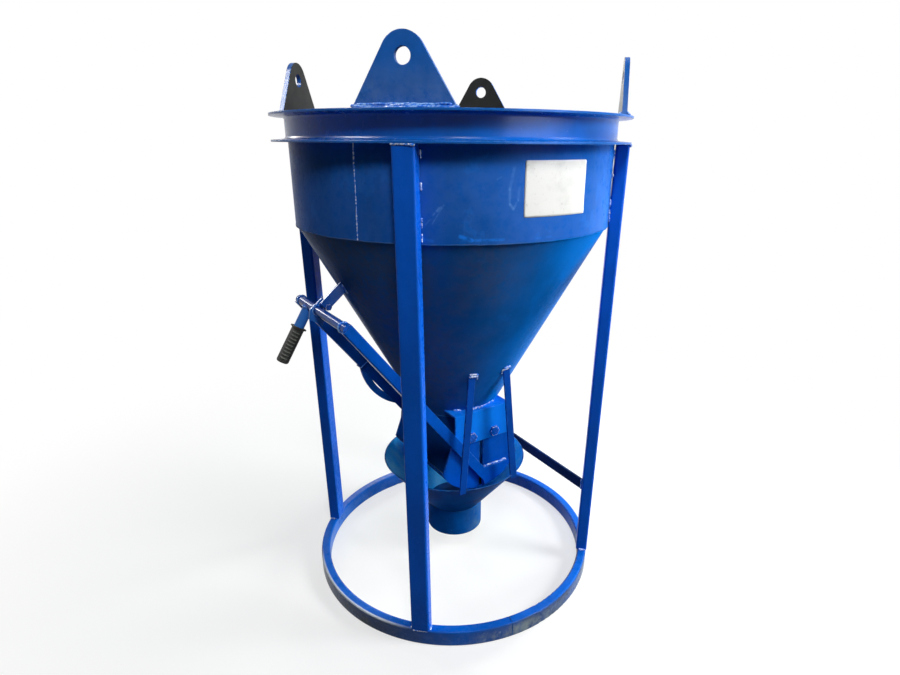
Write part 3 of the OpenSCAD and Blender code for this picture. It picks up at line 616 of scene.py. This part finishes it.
# Each enamel: the starts of the names of the nodes that wear it, and its settings
FINISHES = {
    "cone": (("hopper_cone",), dict(
        LINED, deep=srgb(4, 90, 166), bright=srgb(4, 110, 206), ior=CONE_IOR, film=CONE_REFLECTION_FILM)),
    "drum": (("drum_shell",), dict(
        LINED, deep=srgb(4, 80, 164), bright=srgb(4, 95, 198), ior=SHELL_IOR, film=DRUM_DUST_AND_SHEEN_FILM,
        marks=drum_marks)),
    # Darker than the gate's enamel: painted shade on the neck and the jaw shells
    "neck": (("outlet_neck", "left_jaw_shell", "right_jaw_shell"), dict(
        LINED, deep=srgb(3, 52, 112), bright=srgb(4, 66, 142), ior=SHELL_IOR, cloud_scale=5.0,
        patches=0.04)),
    "rim": (("rim_channel",), dict(inside=LINING, grain=1.2, ior=RIM_IOR, rough=0.20)),
    "fitting": (("stop_bracket", "rear_arm_bow"), dict(
        deep=srgb(10, 84, 178), bright=srgb(20, 104, 208), edge_wear=0.4, dust=0.05, rough=0.20,
        ior=TUBE_IOR, cloud_scale=5.0, patches=0.05, nicked=0.2)),
    # Lighter blue: painted light on the handle tube and plate, where the lamps reach weakly
    "handle": (("handle_",), dict(
        deep=srgb(40, 114, 212), bright=srgb(66, 138, 228), edge_wear=0.6, dust=0.05, rough=0.22,
        ior=TUBE_IOR, cloud_scale=5.0, patches=0.05, nicked=0.2)),
    # Dark blue: painted shade on the tie bar
    "tie": (("tie_bar",), dict(
        deep=srgb(6, 32, 74), bright=srgb(8, 40, 92), edge_r=0.003, edge_wear=0.3, dust=0.05,
        patches=0.04, nicked=0.1)),
    "lug": (("lug_",), dict(
        inside=LUG_BACK, edge_wear=0.6, grain=0.8, rough=0.30, cloud_scale=4.0, ior=LUG_IOR, film=LUG_FILM)),
    "frame": (("leg_",), dict(
        deep=srgb(13, 88, 200), bright=srgb(15, 102, 226), edge_r=0.004, edge_wear=0.35, dust=0.05,
        ior=FRAME_IOR, patches=0.05, nicked=0.12)),
    "ring": (("base_ring",), dict(
        deep=srgb(6, 84, 180), bright=srgb(8, 104, 214), edge_r=0.004, edge_wear=0.35, dust=0.05,
        ior=RING_IOR, marks=ring_wear, patches=0.05, nicked=0.12)),
    "cover": (("gate_cover",), dict(
        deep=srgb(8, 110, 220), bright=srgb(12, 124, 236), edge_wear=0.7, dust=0.05, cloud_scale=5.0,
        patches=0.10, nicked=0.2)),
    "hanger": (("hanger_",), dict(
        deep=srgb(8, 62, 146), bright=srgb(8, 74, 170), edge_wear=0.4, dust=0.05, cloud_scale=4.0,
        patches=0.04, nicked=0.1)),
    "tube": (("cross_tube",), dict(
        deep=srgb(3, 72, 164), bright=srgb(3, 88, 196), edge_wear=0.7, dust=0.05, rough=0.15,
        ior=TUBE_IOR, patches=0.05, nicked=0.2, grain=0.2)),
    "funnel": (("discharge_funnel",), dict(
        deep=srgb(5, 82, 160), bright=srgb(8, 106, 192), dust=0.2, rough=0.34, ior=FUNNEL_IOR,
        cloud_scale=6.0, patches=0.03, nicked=0.6, inside=FUNNEL_INSIDE_PAINTED_LIGHT)),
    "spout": (("discharge_tube",), dict(
        deep=srgb(4, 74, 150), bright=srgb(10, 98, 184), dust=0.2, rough=0.34, ior=FUNNEL_IOR,
        cloud_scale=9.0, patches=0.10, nicked=0.8, film=SPOUT_FILM)),
    # Darker than the cover: painted shade on the jaws, arms and the rest of the gate
    "gate": (("",), dict(
        deep=srgb(3, 72, 164), bright=srgb(3, 88, 196), edge_wear=0.6, dust=0.08, cloud_scale=5.0,
        patches=0.08, nicked=0.2)),
}


def dress():
    """Gives each node the first finish that names it; the last, the gate's enamel, fits every name."""
    bolt = painted_bolt()
    steel = gear_steel()
    worn = [("pivot_bolts", bolt), ("stop_bolt", bolt), ("right_jaw_gear", steel), ("left_jaw_gear", steel)]
    for finish, (starts, settings) in FINISHES.items():
        paint = enamel(finish + "_enamel", **settings)
        worn += [(start, paint) for start in starts]
    for name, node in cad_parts.items():
        node.data.materials.clear()
        node.data.materials.append(next(paint for start, paint in worn if name.startswith(start)))


# Pieces in mesh code

def new_piece(name, vertices, faces, material, body):
    mesh = bpy.data.meshes.new(name)
    mesh.from_pydata([tuple(v) for v in vertices], [], faces)
    mesh.validate()
    mesh.update()
    for polygon in mesh.polygons:
        polygon.use_smooth = True
    mesh.materials.append(material)
    piece = bpy.data.objects.new(name, mesh)
    scene.collection.objects.link(piece)
    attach(piece, body)
    return piece


def resample(points, step, closed):
    """The same path in even steps."""
    line = list(points) + ([points[0]] if closed else [])
    spans = [(b - a).length for a, b in zip(line, line[1:])]
    total = sum(spans)
    count = max(3, round(total / step))
    out = []
    index = 0
    passed = 0.0
    for k in range(count if closed else count + 1):
        target = total * k / count
        while index < len(spans) - 1 and passed + spans[index] < target:
            passed += spans[index]
            index += 1
        out.append(line[index].lerp(line[index + 1], min(1.0, (target - passed) / spans[index])))
    return out


class Beads:
    """Weld beads gathered into one piece: each is a rippled tube with a swelling, wandering line."""

    SIDES = 8
    STEP = 0.45  # between rings of vertices, in bead radii
    PITCH = 1.5  # between ripples, in bead radii
    RIPPLE = 0.16  # share of the radius that a ripple takes off
    END_SIZE = 0.35  # share of the radius at an open end
    END_GROWTH = 0.4  # what each ring from there adds to that share
    WAVES = 38.0  # slowest swell, in radians per metre
    OCTAVES = (1, 2, 4)  # swells, each weaker as it gets faster
    WAVE_HEIGHTS = (0.6, 1.0)
    WAVE_TURNS = (0.0, 6.28)
    WAVE_SUM = 1.6  # what the swells together are divided by
    ASKEW = Vector((0.3, 0.5, 0.8))  # a direction that no bead runs along

    def __init__(self, name, body, seed):
        self.name = name
        self.body = body
        self.draw = random.Random(seed)
        self.vertices = []
        self.faces = []

    def wave(self):
        """A smooth random curve of the distance along the bead."""
        draw = self.draw.uniform
        terms = [(draw(*self.WAVE_HEIGHTS) / k, draw(*self.WAVE_TURNS), self.WAVES * k)
                 for k in self.OCTAVES]
        return lambda s: sum(a * math.sin(f * s + p) for a, p, f in terms) / self.WAVE_SUM

    def bead(self, points, radius, closed=False, rough=0.22, wander=0.25):
        step = radius * self.STEP
        path = resample([Vector(p) for p in points], step, closed)
        count = len(path)
        swell, side, rise = self.wave(), self.wave(), self.wave()
        pitch = radius * self.PITCH
        first = len(self.vertices)
        across = None
        for i, point in enumerate(path):
            before = path[i - 1] if closed or i else path[0]
            after = path[(i + 1) % count] if closed or i < count - 1 else path[-1]
            along = (after - before).normalized()
            if across is None:
                across = along.cross(self.ASKEW).normalized()
            across = (across - along * across.dot(along)).normalized()
            over = along.cross(across)
            s = i * step
            ripple = 1.0 - self.RIPPLE * ((s / pitch) % 1.0)
            size = radius * ripple * (1.0 + rough * swell(s))
            if not closed:
                size *= min(1.0, self.END_SIZE + self.END_GROWTH * min(i, count - 1 - i))
            centre = point + (across * side(s) + over * rise(s)) * radius * wander
            for k in range(self.SIDES):
                turn = math.tau * k / self.SIDES
                self.vertices.append(centre + (across * math.cos(turn) + over * math.sin(turn)) * size)
        self.skin(first, count, closed)

    def skin(self, first, count, closed):
        """Faces between a bead's rings of vertices, and over its two ends where it has ends."""
        n = self.SIDES
        for i in range(count if closed else count - 1):
            a = first + i * n
            b = first + ((i + 1) % count) * n
            for k in range(n):
                self.faces.append((a + k, a + (k + 1) % n, b + (k + 1) % n, b + k))
        if not closed:
            self.faces.append(tuple(first + k for k in reversed(range(n))))
            self.faces.append(tuple(first + (count - 1) * n + k for k in range(n)))

    def make(self, material):
        return new_piece(self.name, self.vertices, self.faces, material, self.body)


def arc(radius, z, start, end, count=48):
    """Points along an arc about the bucket's own axis, at a height, from one azimuth to another."""
    return [around(radius, start + (end - start) * k / count, z) for k in range(count + 1)]


# A direction that no loop's axis has
LOOP_ASKEW = Vector((0.2, 0.9, 0.4))


def loop(centre, axis, radius, count=36):
    """A circle of points about an axis."""
    side = axis.cross(LOOP_ASKEW).normalized()
    other = axis.cross(side)
    return [centre + (side * math.cos(math.tau * k / count) + other * math.sin(math.tau * k / count)) * radius
            for k in range(count)]


def directions(azimuth):
    """The level directions away from the bucket's own axis and along its rim, at an azimuth."""
    outward = around(1.0, azimuth, 0.0) - around(0.0, azimuth, 0.0)
    return outward, Vector((-outward.y, outward.x, 0.0))


# How far the middle of a plain bead stands off the faces beside it
BEAD_OFF = 0.001

# Passes of weld at a lug's foot: share of its half width, radius, distance from its face, height
LUG_PASSES = ((1.02, 0.0042, 0.000, 0.000), (0.97, 0.0036, 0.004, -0.003), (0.90, 0.0032, -0.001, 0.0045))
LUG_BEAD_RISE = 0.004
LUG_BEAD_GAP = 0.003


def lug_welds(paint):
    welds = Beads("lug_welds", "bucket", 11)
    for azimuth in LEG_AZIMUTHS:
        outward, along = directions(azimuth)
        rim_middle = around(0.0, azimuth, RIM_TOP + LUG_BEAD_RISE)
        for away in (1.0, -1.0):
            face = LUG_R + away * (LUG_T / 2 + LUG_BEAD_GAP)
            for reach, radius, shift, lift in LUG_PASSES:
                start = rim_middle + outward * (face + away * shift) + UP * lift
                line = [start + along * (LUG_HALF_W * reach * t / 8) for t in range(-8, 9)]
                welds.bead(line, radius, rough=0.55, wander=0.7)
    welds.make(paint)


# Where the legs are stitched to the drum, as shares of its height, and the stitches' sizes
LEG_STITCHES = (0.05, 0.14, 0.26, 0.57, 0.84)
STITCH_SHIFT = 0.008
STITCH_LEN = (0.010, 0.034)
STITCH_R = (0.0020, 0.0030)
STITCH_GAP = (0.0015, 0.0005)

# Beads at a leg's ends: how far short of corners, below the rim, and inside and below the ring's edge
LEG_BEAD_INSET = 0.004
LEG_HEAD_DROP = 0.003
LEG_TOE_SINK = 0.0005
LEG_TOE_DROP = 0.002


def leg_welds(paint):
    welds = Beads("leg_welds", "bucket", 23)
    half = LEG_W / 2
    beside_drum = math.sqrt(DRUM_R ** 2 - half ** 2)
    for azimuth in LEG_AZIMUTHS:
        outward, along = directions(azimuth)
        axis = around(0.0, azimuth, 0.0)
        for side in (-1.0, 1.0):
            foot = axis + outward * (beside_drum + STITCH_GAP[0]) + along * side * (half + STITCH_GAP[1])
            for share in LEG_STITCHES:
                low = DRUM_LOW + (RIM_LOW - DRUM_LOW) * share
                low += welds.draw.uniform(-STITCH_SHIFT, STITCH_SHIFT)
                high = low + welds.draw.uniform(*STITCH_LEN)
                welds.bead([foot + UP * low, foot + UP * high], welds.draw.uniform(*STITCH_R), rough=0.5)
            corner = axis + along * side * (half + BEAD_OFF) + UP * (RING_TOP + BEAD_OFF)
            ends = (RING_R - RING_W + LEG_BEAD_INSET, RING_R - LEG_BEAD_INSET)
            welds.bead([corner + outward * end for end in ends], radius=0.0045)
        head = axis + outward * (leg_face(RIM_LOW) + BEAD_OFF) + UP * (RIM_LOW - LEG_HEAD_DROP)
        welds.bead([head + along * half * t for t in (-1, 0, 1)], radius=0.0045, rough=0.4, wander=0.4)
        toe = axis + outward * (RING_R - LEG_TOE_SINK) + UP * (RING_TOP - LEG_TOE_DROP)
        welds.bead([toe + along * (half - LEG_BEAD_INSET) * t for t in (-1, 0, 1)], radius=0.0036, rough=0.4)
    welds.make(paint)


# Azimuth of the drum's upright seam, how far it drifts on its way down, and azimuth of the ring's joint
SEAM_AZIMUTH = -151.8
SEAM_DRIFT = -0.4
SEAM_STEPS = 12
BUTT_AZIMUTH = -101.5

# How far both stand off the metal, where the ring's joint starts, and how it cuts the ring's corners
SEAM_OFF = 0.0002
BUTT_LOW = 0.006
BUTT_DROP = 0.005
BUTT_INSET = 0.004

# How far the middle of the bead at the drum's foot lies inside the drum's face and below its edge
DRUM_FOOT_SINK = 0.0008
DRUM_FOOT_DROP = 0.0004


def shell_seams(paint):
    welds = Beads("shell_seams", "bucket", 37)
    seam = [around(DRUM_R + SEAM_OFF, SEAM_AZIMUTH + SEAM_DRIFT * k / SEAM_STEPS,
                   RIM_LOW + (DRUM_LOW - RIM_LOW) * k / SEAM_STEPS)
            for k in range(SEAM_STEPS + 1)]
    welds.bead(seam, radius=0.0019, rough=0.3, wander=0.3)
    welds.make(paint)


def shell_joints(paint):
    """The dressed welds at the drum's foot, the neck, the spout and the ring, painted like the cone."""
    welds = Beads("shell_joints", "bucket", 31)
    drum_foot = arc(DRUM_R - DRUM_FOOT_SINK, DRUM_LOW - DRUM_FOOT_DROP, 0.0, 355.0, 90)
    welds.bead(drum_foot, radius=0.0024, closed=True, rough=0.3)
    welds.bead(arc(NECK_R + BEAD_OFF, CONE_LOW, 0.0, 350.0), radius=0.0032, closed=True)
    welds.bead(arc(SPOUT_R + BEAD_OFF, SPOUT_TOP, 0.0, 350.0), radius=0.0026, closed=True)
    out = RING_R + SEAM_OFF
    back = RING_R - RING_W - SEAM_OFF
    route = ((out, BUTT_LOW), (out, RING_TOP - BUTT_DROP),
             (out - BUTT_INSET, RING_TOP), (back + BUTT_INSET, RING_TOP))
    welds.bead([around(radius, BUTT_AZIMUTH, z) for radius, z in route], radius=0.0011, rough=0.3)
    welds.make(paint)


# Passes of weld over a hanger's top, as height over it and radius, and the length of those beside it
HANGER_PASSES = ((0.000, 0.0055), (0.007, 0.0042))
HANGER_SIDE_LEN = 0.018

# Where they run, as shares of the hanger's half width, and how far they stand off the cone
HANGER_TOP_SHARES = (-1.2, -0.4, 0.4, 1.2)
HANGER_SIDE_SHARES = (-1.15, 1.15)
HANGER_TOP_OFF = 0.003
HANGER_SIDE_OFF = 0.002

# Stretches of the weld between cover and cone, in degrees from the cover's middle, and how far it stands off
COVER_STRETCHES = ((-34.0, -24.0), (-12.0, 27.0))
COVER_BEAD_OFF = 0.002


def gate_welds(paint):
    welds = Beads("gate_welds", "bucket", 41)
    reach = cone_radius(HANGER_TOP_Z)
    depth = math.sqrt(reach ** 2 - HANGER_TOP_X ** 2)
    half = math.degrees(HANGER_W / 2 / reach)
    for sx in (-1.0, 1.0):
        for sy in (-1.0, 1.0):
            azimuth = math.degrees(math.atan2(sy * depth, sx * HANGER_TOP_X)) + HANGER_TURN
            for lift, radius in HANGER_PASSES:
                z = HANGER_TOP_Z + lift
                out = cone_radius(z) + HANGER_TOP_OFF
                top = [around(out, azimuth + half * t, z) for t in HANGER_TOP_SHARES]
                welds.bead(top, radius, rough=0.45, wander=0.6)
            for t in HANGER_SIDE_SHARES:
                heights = (HANGER_TOP_Z, HANGER_TOP_Z - HANGER_SIDE_LEN)
                side = [around(cone_radius(z) + HANGER_SIDE_OFF, azimuth + half * t, z) for z in heights]
                welds.bead(side, radius=0.0036, rough=0.4)
    joint = cone_radius(COVER_TOP) + COVER_BEAD_OFF
    for facing in (-90.0, 90.0):
        for start, end in COVER_STRETCHES:
            line = arc(joint, COVER_TOP + COVER_BEAD_OFF, facing + start, facing + end, 14)
            welds.bead(line, radius=0.0050, rough=0.45, wander=0.5)
    welds.make(paint)


# Half the length of the stop bracket's welds, and how far the tie bar's stand off its middle
STOP_BEAD_HALF = 0.018
TIE_BEAD_OFF = 0.005


def frame_welds(paint):
    welds = Beads("frame_welds", "bucket", 53)
    slope = Vector((-CONE_SLOPE, 0.0, 1.0)).normalized() * STOP_BEAD_HALF
    for y in STOP_FACES_Y:
        foot = Vector((AXIS_X + STOP_CONE_X, y, STOP_CONE_Z))
        welds.bead([foot - slope, foot + slope], radius=0.0040, rough=0.4, wander=0.4)
    tall = UP * (TIE_W / 2)
    for side in (-1.0, 1.0):
        for off in (-TIE_BEAD_OFF, TIE_BEAD_OFF):
            end = Vector((AXIS_X + TIE_X + off, side * TIE_END_Y, TIE_Z + side * TIE_END_RISE))
            welds.bead([end - tall, end + tall], radius=0.0032, rough=0.35)
    welds.make(paint)


# How far the bead on an arm's foot starts from the pad's end, and lies inside the arm's middle
FOOT_BEAD_START = 0.002
FOOT_BEAD_INSET = 0.004


def foot_welds(paint):
    """The bright beads where the arms' feet meet the right jaw."""
    welds = Beads("foot_welds", "lever", 71)
    start = PAD_X[0] + FOOT_BEAD_START
    for side in (-1.0, 1.0):
        y = side * (ARM_Y - FOOT_BEAD_INSET)
        line = [Vector((start + (PAD_X[1] - start) * t / 6, y, PAD_TOP + BEAD_OFF)) for t in range(7)]
        welds.bead(line, radius=0.0042, rough=0.4, wander=0.35)
    welds.make(paint)


# How far the bead on the handle plate's near face is sunk, to clear the stop bolt
PLATE_BEAD_SINK = 0.002

# Where the bead round the handle's root lies, as a share of the cross tube's radius
ROOT_BEAD_SHARE = 0.75


def lever_welds(paint):
    welds = Beads("lever_welds", "lever", 67)
    down = Vector((math.cos(ARM_SLOPE), 0.0, -math.sin(ARM_SLOPE)))
    lift = Vector((math.sin(ARM_SLOPE), 0.0, math.cos(ARM_SLOPE)))
    half = ARM_W / 2
    tube_bead = CROSS_R + BEAD_OFF
    for side in (-1.0, 1.0):
        joint = Vector((CROSS.x, side * ARM_Y, CROSS.z)) + down * (ARM_TUBE_LEN + BEAD_OFF)
        corners = [joint + lift * half * a + LEVEL * half * b
                   for a, b in ((1, 1), (1, -1), (-1, -1), (-1, 1))]
        welds.bead(corners, radius=0.0026, closed=True, rough=0.3)
        inner = Vector((CROSS.x, side * (ARM_Y - half - BEAD_OFF), CROSS.z))
        welds.bead(loop(inner, LEVEL, tube_bead), radius=0.0034, closed=True)
    for y in (HANDLE_PLATE_Y[0] + PLATE_BEAD_SINK, HANDLE_PLATE_Y[1]):
        welds.bead(loop(Vector((CROSS.x, y, CROSS.z)), LEVEL, tube_bead), radius=0.0030, closed=True)
    root = HANDLE_ROOT + HANDLE_DOWN * (CROSS_R * ROOT_BEAD_SHARE)
    welds.bead(loop(root, HANDLE_DOWN, HANDLE_R + BEAD_OFF), radius=0.0034, closed=True)
    welds.make(paint)


# The label's place on the drum, how far its faces lie from the drum's, its corners and its lifted corner
LABEL_AZIMUTHS = (-101.9, -78.2)
LABEL_Z = (1.4165, 1.5610)
LABEL_SINK = 0.0006
LABEL_STAND = 0.0010
LABEL_CORNER_R = 0.004
LABEL_LIFT_START = 0.86
LABEL_LIFT = 0.012
LABEL_GRID = (40, 24)


def label_point(u_share, v_share, outer):
    """A point of the label, at shares of its length and height from its middle, with rounded corners."""
    length = math.radians(LABEL_AZIMUTHS[1] - LABEL_AZIMUTHS[0]) * DRUM_R
    tall = LABEL_Z[1] - LABEL_Z[0]
    u = u_share * length
    v = v_share * tall
    over_u = max(0.0, abs(u) - length / 2 + LABEL_CORNER_R)
    over_v = max(0.0, abs(v) - tall / 2 + LABEL_CORNER_R)
    reach = math.hypot(over_u, over_v)
    if reach > LABEL_CORNER_R:
        u -= math.copysign(over_u * (1.0 - LABEL_CORNER_R / reach), u)
        v -= math.copysign(over_v * (1.0 - LABEL_CORNER_R / reach), v)
    lifted = max(0.0, (u / length - v / tall) - LABEL_LIFT_START) * LABEL_LIFT
    radius = DRUM_R + LABEL_STAND + lifted if outer else DRUM_R - LABEL_SINK
    return around(radius, sum(LABEL_AZIMUTHS) / 2 + math.degrees(u / DRUM_R), sum(LABEL_Z) / 2 + v)


def blank_label(material):
    """A thin closed sheet bent round the drum, with small round corners and one lifted corner."""
    columns, rows = LABEL_GRID
    vertices = [label_point(i / columns - 0.5, j / rows - 0.5, outer)
                for outer in (False, True) for j in range(rows + 1) for i in range(columns + 1)]
    faces = []
    wide = columns + 1
    top = wide * (rows + 1)
    for j in range(rows):
        for i in range(columns):
            a = j * wide + i
            faces.append((a, a + wide, a + wide + 1, a + 1))
            faces.append((top + a, top + a + 1, top + a + wide + 1, top + a + wide))
    rim = list(range(columns)) + [j * wide + columns for j in range(rows)]
    rim += [rows * wide + i for i in range(columns, 0, -1)] + [j * wide for j in range(rows, 0, -1)]
    for a, b in zip(rim, rim[1:] + rim[:1]):
        faces.append((a, b, top + b, top + a))
    new_piece("blank_label", vertices, faces, material, "bucket")


# How finely the grip is cut, and its fillet, as distance past the collar and radius over the barrel
GRIP_STEPS = 150
GRIP_SIDES = 64
GRIP_ROUND_STEPS = 6
GRIP_FILLET = ((0.0005, 0.002), (0.003, 0.0))
GRIP_BARREL_END = GRIP_END - GRIP_START - GRIP_END_ROUND

# Cosine at which a panel of ribs starts and how fast it rises, the crests' form, and the grooves' depth
GRIP_PANEL_START = 0.74
GRIP_PANEL_RISE = 9.0
GRIP_CREST_POWER = 0.8
GRIP_GROOVE = 0.6


def grip_profile():
    """Distance along the grip and radius, from the collar's bore to the rounded end."""
    profile = [(0.0, GRIP_BORE_R), (0.0, GRIP_COLLAR_R - GRIP_COLLAR_ROUND),
               (GRIP_COLLAR_ROUND, GRIP_COLLAR_R), (GRIP_COLLAR_T - GRIP_COLLAR_ROUND, GRIP_COLLAR_R),
               (GRIP_COLLAR_T, GRIP_COLLAR_R - GRIP_COLLAR_ROUND)]
    profile += [(GRIP_COLLAR_T + past, GRIP_R + over) for past, over in GRIP_FILLET]
    barrel = GRIP_BARREL_END - GRIP_BARREL_START
    profile += [(GRIP_BARREL_START + barrel * k / GRIP_STEPS, GRIP_R) for k in range(GRIP_STEPS + 1)]
    for k in range(1, GRIP_ROUND_STEPS + 1):
        turn = math.pi / 2 * k / GRIP_ROUND_STEPS
        profile.append((GRIP_BARREL_END + GRIP_END_ROUND * math.sin(turn),
                        GRIP_R - GRIP_END_ROUND * (1.0 - math.cos(turn))))
    return profile


def rib_height(along, turn):
    """How far the grip's surface stands over its barrel, or under it between the ribs of a panel."""
    if not GRIP_BARREL_START < along < GRIP_BARREL_END:
        return 0.0
    panel = min(1.0, max(0.0, abs(math.cos(turn - GRIP_TURN)) - GRIP_PANEL_START) * GRIP_PANEL_RISE)
    ribs = (along - GRIP_RIB_START) / GRIP_RIB_PITCH
    crest = 0.0
    if 0.0 <= ribs < GRIP_RIBS:
        crest = max(0.0, math.cos(math.tau * (ribs % 1.0 - 0.5))) ** GRIP_CREST_POWER
    return GRIP_RIB_H * panel * (crest - GRIP_GROOVE)


def moulded_grip(material):
    """The rubber grip: a collar, a barrel with two panels of short ribs, and a rounded closed end."""
    front = HANDLE_DOWN.cross(LEVEL)
    turns = [math.tau * k / GRIP_SIDES for k in range(GRIP_SIDES)]

    def point(along, radius, turn):
        reach = (LEVEL * math.cos(turn) + front * math.sin(turn)) * radius
        return HANDLE_ROOT + HANDLE_DOWN * (GRIP_START + along) + reach

    profile = grip_profile()
    vertices = [point(along, radius + rib_height(along, turn), turn)
                for along, radius in profile for turn in turns]
    faces = []
    n = GRIP_SIDES
    last = (len(profile) - 1) * n
    for ring in range(0, last, n):
        for k in range(n):
            a = ring + k
            b = ring + (k + 1) % n
            faces.append((a, b, b + n, a + n))
    faces.append(tuple(last + k for k in range(n)))
    deep = len(vertices)
    vertices += [point(GRIP_END - GRIP_START - GRIP_END_T, GRIP_BORE_R, turn) for turn in turns]
    for k in range(n):
        faces.append(((k + 1) % n, k, deep + k, deep + (k + 1) % n))
    faces.append(tuple(deep + k for k in reversed(range(n))))
    grip = new_piece("moulded_grip", vertices, faces, material, "lever")
    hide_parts("rubber_grip")


# Floor, world and lamps

FLOOR_HALF = 20.0
FLOOR_SEEN = (0.97, 0.97, 0.97, 1.0)
FLOOR_BOUNCE = (0.13, 0.13, 0.13, 1.0)
FLOOR_WHITE_REACH = (0.7, 2.6)
FLOOR_WHITE_SHARE = (0.60, 1.0)
AMBIENT = 0.056
AMBIENT_TINT = (0.80, 1.0, 0.96, 1.0)


def seen_directly(tree):
    """1 for camera, glossy and transmission rays."""
    light = tree.nodes.new("ShaderNodeLightPath")
    total = light.outputs["Is Camera Ray"]
    for name in ("Is Glossy Ray", "Is Transmission Ray"):
        node = tree.nodes.new("ShaderNodeMath")
        node.operation = "MAXIMUM"
        tree.links.new(total, node.inputs[0])
        tree.links.new(light.outputs[name], node.inputs[1])
        total = node.outputs[0]
    return total


def floor_white():
    """Pale floor that keeps a soft shadow near the bucket and turns white further out."""
    s = Shader("floor")
    seen = seen_directly(s.tree)
    s.set("Base Color", s.mix(seen, FLOOR_BOUNCE, FLOOR_SEEN))
    s.set("Roughness", 0.9)
    s.set("Specular IOR Level", 0.0)
    far = s.ramp(s.vector("LENGTH", s.place), *FLOOR_WHITE_REACH, *FLOOR_WHITE_SHARE)
    blend = s.add("ShaderNodeMixShader")
    s.feed(blend.inputs[0], s.times(far, seen))
    s.feed(blend.inputs[1], s.surface.outputs[0])
    s.feed(blend.inputs[2], s.add("ShaderNodeEmission").outputs[0])
    s.feed(s.tree.nodes["Material Output"].inputs["Surface"], blend.outputs[0])
    return s.material


def make_floor():
    h = FLOOR_HALF
    mesh = bpy.data.meshes.new("floor")
    mesh.from_pydata([(-h, -h, 0), (h, -h, 0), (h, h, 0), (-h, h, 0)], [], [(0, 1, 2, 3)])
    floor = bpy.data.objects.new("floor", mesh)
    scene.collection.objects.link(floor)
    mesh.materials.append(floor_white())


def make_world():
    """White where it is seen, and a low even light elsewhere."""
    world = bpy.data.worlds.new("studio")
    scene.world = world
    world.use_nodes = True
    tree = world.node_tree
    low = tree.nodes["Background"]
    low.inputs["Color"].default_value = AMBIENT_TINT
    low.inputs["Strength"].default_value = AMBIENT
    white = tree.nodes.new("ShaderNodeBackground")
    white.inputs["Color"].default_value = (1.0, 1.0, 1.0, 1.0)
    mix = tree.nodes.new("ShaderNodeMixShader")
    tree.links.new(seen_directly(tree), mix.inputs[0])
    tree.links.new(low.outputs[0], mix.inputs[1])
    tree.links.new(white.outputs[0], mix.inputs[2])
    tree.links.new(mix.outputs[0], tree.nodes["World Output"].inputs["Surface"])


LAMP_TARGET = Vector((AXIS_X, 0.0, 1.0))


def lamp(name, place, size, power, tint=(1.0, 1.0, 1.0), mirrored=True, lighting=True):
    """A soft disk aimed at the middle of the bucket, which lights it, shows in its gloss, or both."""
    data = bpy.data.lights.new(name, "AREA")
    data.shape = "DISK"
    data.size = size
    data.energy = power
    data.color = tint
    light = bpy.data.objects.new(name, data)
    light.location = place
    light.rotation_euler = (LAMP_TARGET - Vector(place)).to_track_quat("-Z", "Y").to_euler()
    light.visible_glossy = mirrored
    light.visible_diffuse = lighting
    scene.collection.objects.link(light)


def light_studio():
    lamp("key", (2.6, -3.1, 3.0), size=1.6, power=176.0)
    lamp("high_front", (-1.1, -2.3, 3.6), size=0.8, power=46.0)
    lamp("overhead", (0.2, 0.4, 4.8), size=3.6, power=34.0)
    lamp("right_strip", (3.4, -0.2, 0.75), size=1.1, power=185.0, tint=(0.90, 1.0, 0.92), mirrored=False)
    lamp("gloss_card", (0.9, -3.2, 1.4), size=2.1, power=88.0, lighting=False)
    lamp("left_card", (-2.6, 0.6, 3.9), size=1.3, power=400.0, lighting=False)
    lamp("right_back", (1.6, 3.6, 2.4), size=1.4, power=40.0)
    lamp("left_back", (-1.3, 3.6, 2.6), size=0.6, power=24.0)


make_camera()
dress()
# The pale peaks of both weld paints are painted highlights
weld = weld_paint("weld_enamel", srgb(232, 242, 255))
thick_weld = weld_paint("thick_weld_enamel", srgb(128, 182, 240))
lug_welds(thick_weld)
leg_welds(weld)
shell_seams(weld)
shell_joints(bpy.data.materials["cone_enamel"])
gate_welds(weld)
frame_welds(thick_weld)
foot_welds(weld)
lever_welds(thick_weld)
blank_label(label_vinyl())
moulded_grip(grip_rubber())
make_floor()
make_world()
light_studio()
scene.view_settings.view_transform = "Standard"
